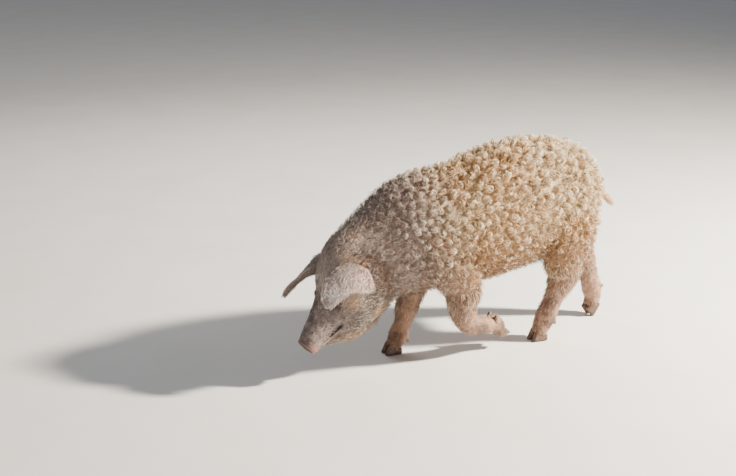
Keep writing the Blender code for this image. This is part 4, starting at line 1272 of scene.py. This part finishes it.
CREAM = colour(255, 226, 178)
# Painted highlight on the tall parts of the curl locks
PALE_HIGHLIGHT = colour(255, 246, 222)
OCHRE = colour(234, 172, 96)
# Deep ochre: the undercoat's own tone and darker locks, and painted shade between the curls
DEEP_OCHRE_AND_SHADE = colour(98, 62, 36)
GREY_CREAM = colour(172, 161, 158)
# Deep grey: dark bristles, and painted shadow behind and under the ear
GREY_DEEP_AND_SHADOW = colour(58, 48, 44)
SKIN_PINK = colour(158, 136, 130)
SKIN_GREY = colour(80, 72, 74)
EAR_PINK = colour(224, 184, 164)
EAR_MAUVE = colour(128, 92, 94)
# Painted bluish shade on the ears, and the far ear's veins in that shade
EAR_BLUE_SHADE = colour(150, 146, 150)
EAR_SHADED_VEINS = colour(84, 66, 62)
SNOUT_PINK = colour(196, 132, 118)
SNOUT_GREY = colour(94, 76, 74)
NOSE_DARK = colour(66, 42, 40)
# Dark lid skin, with painted shadow round the eyes and painted shade in the mouth's crease
LID_DARK_AND_SHADE = colour(38, 27, 25)
LEG_BROWN = colour(164, 126, 106)
TAIL_TONE = colour(206, 160, 124)
# Painted shade low on the belly
BELLY_PAINTED_SHADE = colour(160, 118, 80)
MUD = colour(74, 52, 38)
BRISTLE_PALE = colour(238, 220, 198)
EYE_TONES = (colour(46, 30, 20), colour(70, 46, 30))
CLAW_TONES = (colour(78, 58, 48), colour(132, 104, 86))
FLOOR_TONES = (colour(226, 224, 219), colour(232, 230, 226))

# Places on the left side of the head and neck with a tone of their own: their middle, their
# reach and how strong they are. The ochre ones are on both sides. The dark ones are painted shadow behind and
# under the ear, down to the jowl.
OCHRE_SPOTS = (
    ((-0.435, -0.100, 0.268), 0.040, 0.55),
    ((-0.326, -0.090, 0.200), 0.045, 0.75),
    ((-0.417, -0.060, 0.454), 0.026, 0.40),
    ((-0.436, -0.060, 0.400), 0.046, 0.55),
    ((-0.412, -0.100, 0.380), 0.032, 0.55),
)
SHADOW_SPOTS = (
    ((-0.390, -0.110, 0.400), 0.065, 0.80),
    ((-0.355, -0.130, 0.330), 0.090, 0.80),
    ((-0.330, -0.120, 0.260), 0.085, 0.70),
    ((-0.390, -0.090, 0.205), 0.105, 0.75),
)


def markings_and_shade(s, shift):
    """The tone by place: cream above, ochre below, grey on the neck, dark on the face, with painted shadow
    behind and under the ear, painted light on the top of the rump and painted shade low on the belly.
    """
    x, _, z = s.axes()[:3]
    patches = s.ramp(s.noise(9.0, 4.0), 0.40, 0.62)
    low = s.ramp(z, 0.52, 0.27)
    rear = s.ramp(x, shift.x + 0.10, shift.x + 0.45)
    warm = s.math("ADD", s.times(patches, 0.55), s.times(low, 0.45), clamp=True)
    # Painted light: the coat is paler on the top of the rump
    painted_rump_light = s.times(rear, s.times(s.ramp(z, 0.40, 0.58), 0.30))
    tone = s.mix(s.math("SUBTRACT", warm, painted_rump_light, clamp=True), CREAM, OCHRE)
    # Painted shade: the coat darkens low on the body, under the belly
    tone = s.tint(tone, s.ramp(z, 0.45, 0.32), 0.78, BELLY_PAINTED_SHADE)
    neck = s.times(s.ramp(x, shift.x - 0.02, shift.x - 0.22), s.ramp(z, 0.12, 0.18))
    tone = s.tint(tone, neck, 0.88, GREY_CREAM)
    broken = s.ramp(s.noise(55.0, 5.0, 0.7), 0.38, 0.60)
    # Painted shadow behind and under the ear, down to the jowl
    for place, reach, strength in SHADOW_SPOTS:
        tone = s.tint(tone, s.near(place, shift, reach * 0.4, reach), strength, GREY_DEEP_AND_SHADOW)
    face = s.ramp(x, shift.x - 0.41, shift.x - 0.47)
    face = s.times(face, s.math("SUBTRACT", 1.0, s.ramp(z, 0.26, 0.34)))
    mottle = s.ramp(s.noise(34.0, 6.0, 0.65), 0.36, 0.60)
    tone = s.tint(tone, face, 0.85, s.mix(mottle, SKIN_PINK, SKIN_GREY))
    for place, reach, strength in OCHRE_SPOTS:
        for side in (-1, 1):
            here = (place[0], place[1] * -side, place[2])
            spot = s.times(s.near(here, shift, reach * 0.2, reach), broken)
            tone = s.tint(tone, spot, strength, OCHRE)
    tone = s.tint(tone, s.ramp(x, shift.x + 0.552, shift.x + 0.568), 0.8, TAIL_TONE)
    on_legs = s.ramp(x, shift.x - 0.27, shift.x - 0.23)
    tone = s.tint(tone, s.times(s.ramp(z, 0.29, 0.17), on_legs), 0.85, LEG_BROWN)
    dirt = s.ramp(s.noise(16.0, 7.0, 0.65), 0.44, 0.58)
    mud = s.times(s.times(s.ramp(z, 0.31, 0.10), dirt), on_legs)
    return s.tint(tone, mud, 0.78, MUD)


def coat_material(shift):
    s = Shader("curly_coat")
    base = markings_and_shade(s, shift)
    height = s.attribute("lock_height")
    tone = s.attribute("lock_tone")
    deep = s.mix(0.82, base, DEEP_OCHRE_AND_SHADE)
    # Painted shade: the low parts of the locks, in the gaps between the curls, are darker
    low_locks_shaded = s.mix(s.ramp(height, 0.18, 0.72), deep, base)
    darker = s.tint(low_locks_shaded, s.ramp(tone, 0.5, 0.0), 0.7, deep)
    # Painted highlight: the tall parts of the locks on the body turn pale, more on some locks than on others
    highlight_share = s.times(s.ramp(tone, 0.30, 0.80), s.ramp(height, 0.45, 0.85))
    on_body = s.ramp(s.axes()[0], shift.x - 0.42, shift.x - 0.10)
    bright = s.tint(darker, highlight_share, on_body, PALE_HIGHLIGHT)
    fibres = s.ramp(s.noise(700.0, 2.0), 0.30, 0.70)
    s.set(Base_Color=s.tint(bright, fibres, 0.28, deep), Roughness=0.5, Specular_IOR_Level=0.5)
    return s.material


def bristle_material(shift):
    s = Shader("short_bristles")
    base = markings_and_shade(s, shift)
    tone = s.attribute("lock_tone")
    dark = s.tint(base, s.ramp(tone, 0.5, 0.0), 0.55, GREY_DEEP_AND_SHADOW)
    bright = s.tint(dark, s.ramp(tone, 0.40, 1.0), 0.75, BRISTLE_PALE)
    s.set(Base_Color=bright, Roughness=0.5, Specular_IOR_Level=0.4)
    return s.material


def snout_way(place, way):
    """A direction at the snout, as it is after the head's turn."""
    return (Vector(turned(place + way * 0.05)) - Vector(turned(place))).normalized()


def skin_material(shift):
    s = Shader("pig_skin")
    tone = markings_and_shade(s, shift)
    coated = s.attribute("coat_share")
    # Painted shade with the undercoat's own ochre: the skin under the coat is darkened to deep ochre
    under = s.tint(tone, coated, 0.75, DEEP_OCHRE_AND_SHADE)
    wool = s.ramp(s.noise(150.0, 5.0, 0.72), 0.38, 0.62)
    under = s.tint(under, s.times(coated, wool), 0.5, tone)
    veins = s.ramp(s.noise(60.0, 6.0, 0.72), 0.42, 0.60)
    # Painted shade: the front of the near ear and all of the far ear are bluish; the near ear turns pink
    # towards its root, and both carry darker veins
    rear = s.ramp(s.axes()[0], shift.x - 0.50, shift.x - 0.42)
    near_ear = s.tint(s.mix(rear, EAR_BLUE_SHADE, EAR_PINK), veins, 0.80, EAR_MAUVE)
    shaded_far_ear = s.tint(EAR_BLUE_SHADE, veins, 0.60, EAR_SHADED_VEINS)
    far = s.ramp(s.axes()[1], -0.01, 0.03)
    under = s.tint(under, s.attribute("ear_share"), 0.75, s.mix(far, near_ear, shaded_far_ear))
    middle, facing, up = snout_frame()
    tip = Vector(turned(middle + facing * SNOUT_AHEAD)) + shift
    out = s.beyond(tip, snout_way(middle, facing))
    around = s.distance(tip)
    near_tip = s.ramp(around, 0.060, 0.045)
    grime = s.ramp(s.noise(90.0, 5.0, 0.7), 0.35, 0.62)
    upper = s.ramp(s.beyond(tip, snout_way(middle, up)), -0.022, 0.018)
    grimy = s.mix(grime, SNOUT_GREY, s.mix(upper, SNOUT_PINK, SNOUT_GREY))
    under = s.tint(under, s.times(s.ramp(out, -0.030, -0.006), near_tip), 0.70, grimy)
    rim = s.times(s.ramp(out, -0.0050, -0.0025), near_tip)
    rim = s.times(rim, s.math("SUBTRACT", 1.0, upper))
    under = s.tint(under, rim, 0.80, SNOUT_PINK)
    nose = s.times(s.ramp(out, -0.0022, -0.0006), s.ramp(around, 0.0325, 0.0270))
    under = s.tint(under, nose, 0.88, NOSE_DARK)
    # Dark lid skin, painted shadow round the eyes and painted shade in the mouth's crease
    under = s.tint(under, s.attribute("dark_and_shade_share"), 0.92, LID_DARK_AND_SHADE)
    s.set(Base_Color=under, Roughness=0.58, Specular_IOR_Level=0.4, Subsurface_Weight=0.05)
    coarse = s.times(s.noise(110.0, 5.0, 0.65), 2.5)
    s.bump(s.math("ADD", s.noise(420.0, 3.0), coarse), 0.8, 0.0022)
    return s.material


def eye_material():
    s = Shader("eye")
    s.set(Base_Color=s.mix(s.ramp(s.noise(300.0), 0.4, 0.6), *EYE_TONES))
    s.set(Roughness=0.06, Specular_IOR_Level=0.6, Coat_Weight=1.0, Coat_Roughness=0.03)
    return s.material


def claw_material():
    s = Shader("claw_horn")
    waves = {"Vector": s.place(), "Scale": 60.0, "Distortion": 4.0, "Detail": 2.0}
    bands = s.node("ShaderNodeTexWave", waves)
    tone = s.mix(s.ramp(s.noise(120.0, 5.0), 0.35, 0.65), *CLAW_TONES)
    tone = s.tint(tone, s.ramp(s.axes()[2], 0.03, 0.0), 0.6, MUD)
    s.set(Base_Color=tone, Roughness=0.5)
    s.bump(bands.outputs["Fac"], 0.18, 0.0006)
    return s.material


def build_eye(side, name, material):
    centre, facing, slit = eye_frame(side)
    bpy.ops.mesh.primitive_uv_sphere_add(segments=40, ring_count=24, radius=EYE_RADIUS)
    thing = bpy.context.object
    thing.name = name
    for vertex in thing.data.vertices:
        up = vertex.co.z / EYE_RADIUS
        if up > CORNEA_START:
            vertex.co.z += CORNEA_RISE * ((up - CORNEA_START) / CORNEA_REACH) ** 0.8
    thing.data.transform(Matrix.Translation(centre) @ turn_towards(facing, slit))
    thing.data.materials.append(material)
    thing.data.shade_smooth()
    return thing


def finish_claw(thing, material):
    """Nothing of a claw is below the floor."""
    for vertex in thing.data.vertices:
        vertex.co.z = max(vertex.co.z, 0.0)
    thing.data.materials.append(material)
    thing.data.shade_smooth()
    return thing


def build_claw(name, foot, side, material):
    bpy.ops.mesh.primitive_cube_add(size=1.0)
    thing = bpy.context.object
    thing.name = name
    for vertex in thing.data.vertices:
        x, y, z = vertex.co
        vertex.co = (x * CLAW_LENGTH, y * CLAW_WIDTH, (z + 0.5) * CLAW_HEIGHT)
        at_toe = vertex.co.x < 0
        at_top = vertex.co.z > 0
        if at_toe:
            vertex.co.y = vertex.co.y * CLAW_TOE_WIDTH - side * CLAW_TOE_INWARD
        if at_toe and at_top:
            vertex.co.x += CLAW_WALL_SLOPE
        elif at_top:
            vertex.co.z *= CLAW_HEEL_HEIGHT
    round_edges(thing, CLAW_ROUNDING)
    fine = thing.modifiers.new("fine", "SUBSURF")
    fine.levels = 1
    apply_modifiers(thing)
    shift = Matrix.Translation((0, side * CLAW_SPREAD, 0))
    thing.data.transform(foot_turn(foot) @ shift @ Matrix.Diagonal((*CLAW_HORN, 1)))
    return finish_claw(thing, material)


def build_dewclaw(name, foot, side, material):
    bpy.ops.mesh.primitive_cone_add(
        vertices=20, radius1=DEWCLAW_RADIUS, radius2=DEWCLAW_TIP, depth=DEWCLAW_LENGTH
    )
    thing = bpy.context.object
    thing.name = name
    round_edges(thing, DEWCLAW_TIP * 0.8).limit_method = "ANGLE"
    apply_modifiers(thing)
    place = Vector(DEWCLAW_PLACE)
    place.y = side * DEWCLAW_SPREAD
    turn = turn_towards(DEWCLAW_DIRECTION, (0, 1, 0))
    pitch = Matrix.Rotation(-foot.pitch, 4, "Y")
    thing.data.transform(Matrix.Translation(foot.fetlock) @ pitch @ Matrix.Translation(place) @ turn)
    return finish_claw(thing, material)


# Camera, fitted to the feet, the back line and the head
CAMERA_AZIMUTH = math.radians(-28.0)
CAMERA_ELEVATION = math.radians(16.0)
CAMERA_AIM = Vector((0.0, 0.0, 0.365))
CAMERA_DISTANCE = 4.2
FOCAL_PIXELS = 1260.0
PHOTO_WIDTH = 736
PHOTO_HEIGHT = 476
AIM_PIXEL = (455.0, 245.0)
SENSOR = 36.0


def build_camera(shift):
    sin_a, cos_a = math.sin(CAMERA_AZIMUTH), math.cos(CAMERA_AZIMUTH)
    sin_e, cos_e = math.sin(CAMERA_ELEVATION), math.cos(CAMERA_ELEVATION)
    back = Vector((sin_a * cos_e, -cos_a * cos_e, sin_e))
    right = Vector((cos_a, sin_a, 0))
    up = back.cross(right)
    across = (AIM_PIXEL[0] - PHOTO_WIDTH / 2) / FOCAL_PIXELS * CAMERA_DISTANCE
    down = (AIM_PIXEL[1] - PHOTO_HEIGHT / 2) / FOCAL_PIXELS * CAMERA_DISTANCE
    place = CAMERA_AIM + back * CAMERA_DISTANCE - right * across + up * down + shift
    lens = bpy.data.cameras.new("camera")
    lens.sensor_width = SENSOR
    lens.lens = FOCAL_PIXELS / PHOTO_WIDTH * SENSOR
    camera = add_object("camera", lens)
    camera.matrix_world = Matrix.Translation(place) @ Matrix((right, up, back)).transposed().to_4x4()
    bpy.context.scene.camera = camera


def build_floor():
    bpy.ops.mesh.primitive_plane_add(size=30)
    floor = bpy.context.object
    floor.name = "floor"
    s = Shader("pale_floor")
    s.set(Base_Color=s.mix(s.ramp(s.noise(3.0), 0.3, 0.7), *FLOOR_TONES), Roughness=0.9)
    floor.data.materials.append(s.material)


# The sky's tint and strength, and each lamp's name, place, size, power and tint. The key lamp
# is a small one that stands for a low sun.
SKY_TINT = (0.86, 0.90, 1.0, 1)
SKY_STRENGTH = 0.25
LIGHT_AIM = Vector((0, 0, 0.35))
LIGHTS = (
    ("key", (3.4, -1.75, 2.7), 0.34, 1200, (1.0, 0.92, 0.79)),
    ("fill", (-3.0, -3.5, 2.2), 3.0, 17, (0.90, 0.94, 1.0)),
    ("rim", (0.5, 3.5, 3.2), 2.0, 70, (1.0, 0.97, 0.92)),
)


def build_lights():
    world = bpy.data.worlds.new("studio")
    world.use_nodes = True
    background = world.node_tree.nodes["Background"]
    background.inputs["Color"].default_value = SKY_TINT
    background.inputs["Strength"].default_value = SKY_STRENGTH
    bpy.context.scene.world = world
    for name, place, size, power, tint in LIGHTS:
        lamp = bpy.data.lights.new(name, "AREA")
        lamp.size = size
        lamp.energy = power
        lamp.color = tint
        turn = (Vector(place) - LIGHT_AIM).to_track_quat("Z", "Y").to_matrix().to_4x4()
        add_object(name, lamp).matrix_world = Matrix.Translation(place) @ turn


def build_coat(skin, body_map, curls, coat, bristle):
    """Every lock, tuft and lash; marks the skin's shares for its material as well."""
    points = coordinates(skin.data)
    found = body_map.nearest(points)
    chart = body_map.charts[found]
    coats = body_map.coats[found]
    set_attribute(skin.data, "coat_share", coats)
    set_attribute(skin.data, "ear_share", (chart >= FIRST_EAR) * (1 - coats / EAR_ROOT_COAT))
    set_attribute(skin.data, "dark_and_shade_share", dark_skin_and_shade(points))

    bare = np.clip((0.85 - coats) / 0.35, 0, 1)
    coated = np.clip((coats - 0.12) / 0.30, 0, 1)
    on_face = bare * (chart < FIRST_LEG) * open_skin(points)
    on_legs = bare * ((chart >= FIRST_LEG) & (chart < TAIL_CHART))
    on_ears = (chart >= FIRST_EAR).astype(float)
    on_tail = (chart == TAIL_CHART).astype(float)
    upper_legs = on_legs * np.clip((points[:, 2] - 0.11) / 0.12, 0, 1)

    curly = curl_locks(skin, body_map, curls, coated)
    pieces = coat_pieces("coat_curls", curly, body_map, coat, "coat")
    loose = fuzz_locks(skin, body_map, coated)
    pieces += coat_pieces("coat_fuzz", loose, body_map, coat, "coat")
    rng = np.random.default_rng(SEED + 1)
    for name, count, size, weights, raise_by in (
        ("bristles_face", 10000, (0.0095, 0.0012), on_face, 0.24),
        ("bristles_legs", 5000, (0.011, 0.0012), on_legs, 0.20),
        ("wool_legs", 5500, (0.017, 0.0013), upper_legs, 0.36),
        ("bristles_ears", 4200, (0.0095, 0.0010), on_ears, 0.26),
        ("bristles_tail", 700, (0.018, 0.0011), on_tail, 0.25),
    ):
        locks = short_locks(skin, body_map, count, size, weights, rng, raise_by)
        pieces += coat_pieces(name, locks, body_map, bristle, "skin")
    for name, make in (("fringe_ears", ear_fringe), ("tufts_ears", root_tufts), ("lashes", eyelashes)):
        pieces += coat_pieces(name, make(body_map), body_map, bristle, "skin")
    return pieces


def build_replacements(skin):
    """The pieces that stand in for solids, each with its slot and the nodes it replaces."""
    flesh_nodes = ["head", "neck", "torso", "tail", "ear_left", "ear_right"]
    for name in LIMBS:
        flesh_nodes += [name, name.replace("leg", "shank")]
    eye_finish = eye_material()
    claw_finish = claw_material()
    replaced = [(skin, "skin", flesh_nodes)]
    for side, word in ((-1, "left"), (1, "right")):
        replaced.append((build_eye(side, "eyeball_" + word, eye_finish), "eye", ["eye_" + word]))
    for foot_name, foot in FEET.items():
        inner_side = -1 if foot_name.endswith("right") else 1
        for side in (1, -1):
            word = "inner" if side == inner_side else "outer"
            for node, build in (("claw", build_claw), ("dewclaw", build_dewclaw)):
                node = f"{node}_{foot_name}_{word}"
                replaced.append((build("fine_" + node, foot, side, claw_finish), "claw", [node]))
    return replaced


def main():
    low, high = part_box("eye_left")
    shift = (low + high) / 2 - eye_frame(-1)[0]
    body_map = Map()
    skin, curls = build_skin(body_map)
    coat = coat_material(shift)
    bristle = bristle_material(shift)
    skin.data.materials.clear()
    skin.data.materials.append(skin_material(shift))
    pieces = build_coat(skin, body_map, curls, coat, bristle)
    for piece, slot, nodes in build_replacements(skin):
        piece.data.transform(Matrix.Translation(shift))
        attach(piece, "root")
        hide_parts(*nodes)
    for piece in pieces:
        piece.data.transform(Matrix.Translation(shift))
        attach(piece, "root")
    build_camera(shift)
    build_floor()
    build_lights()


main()
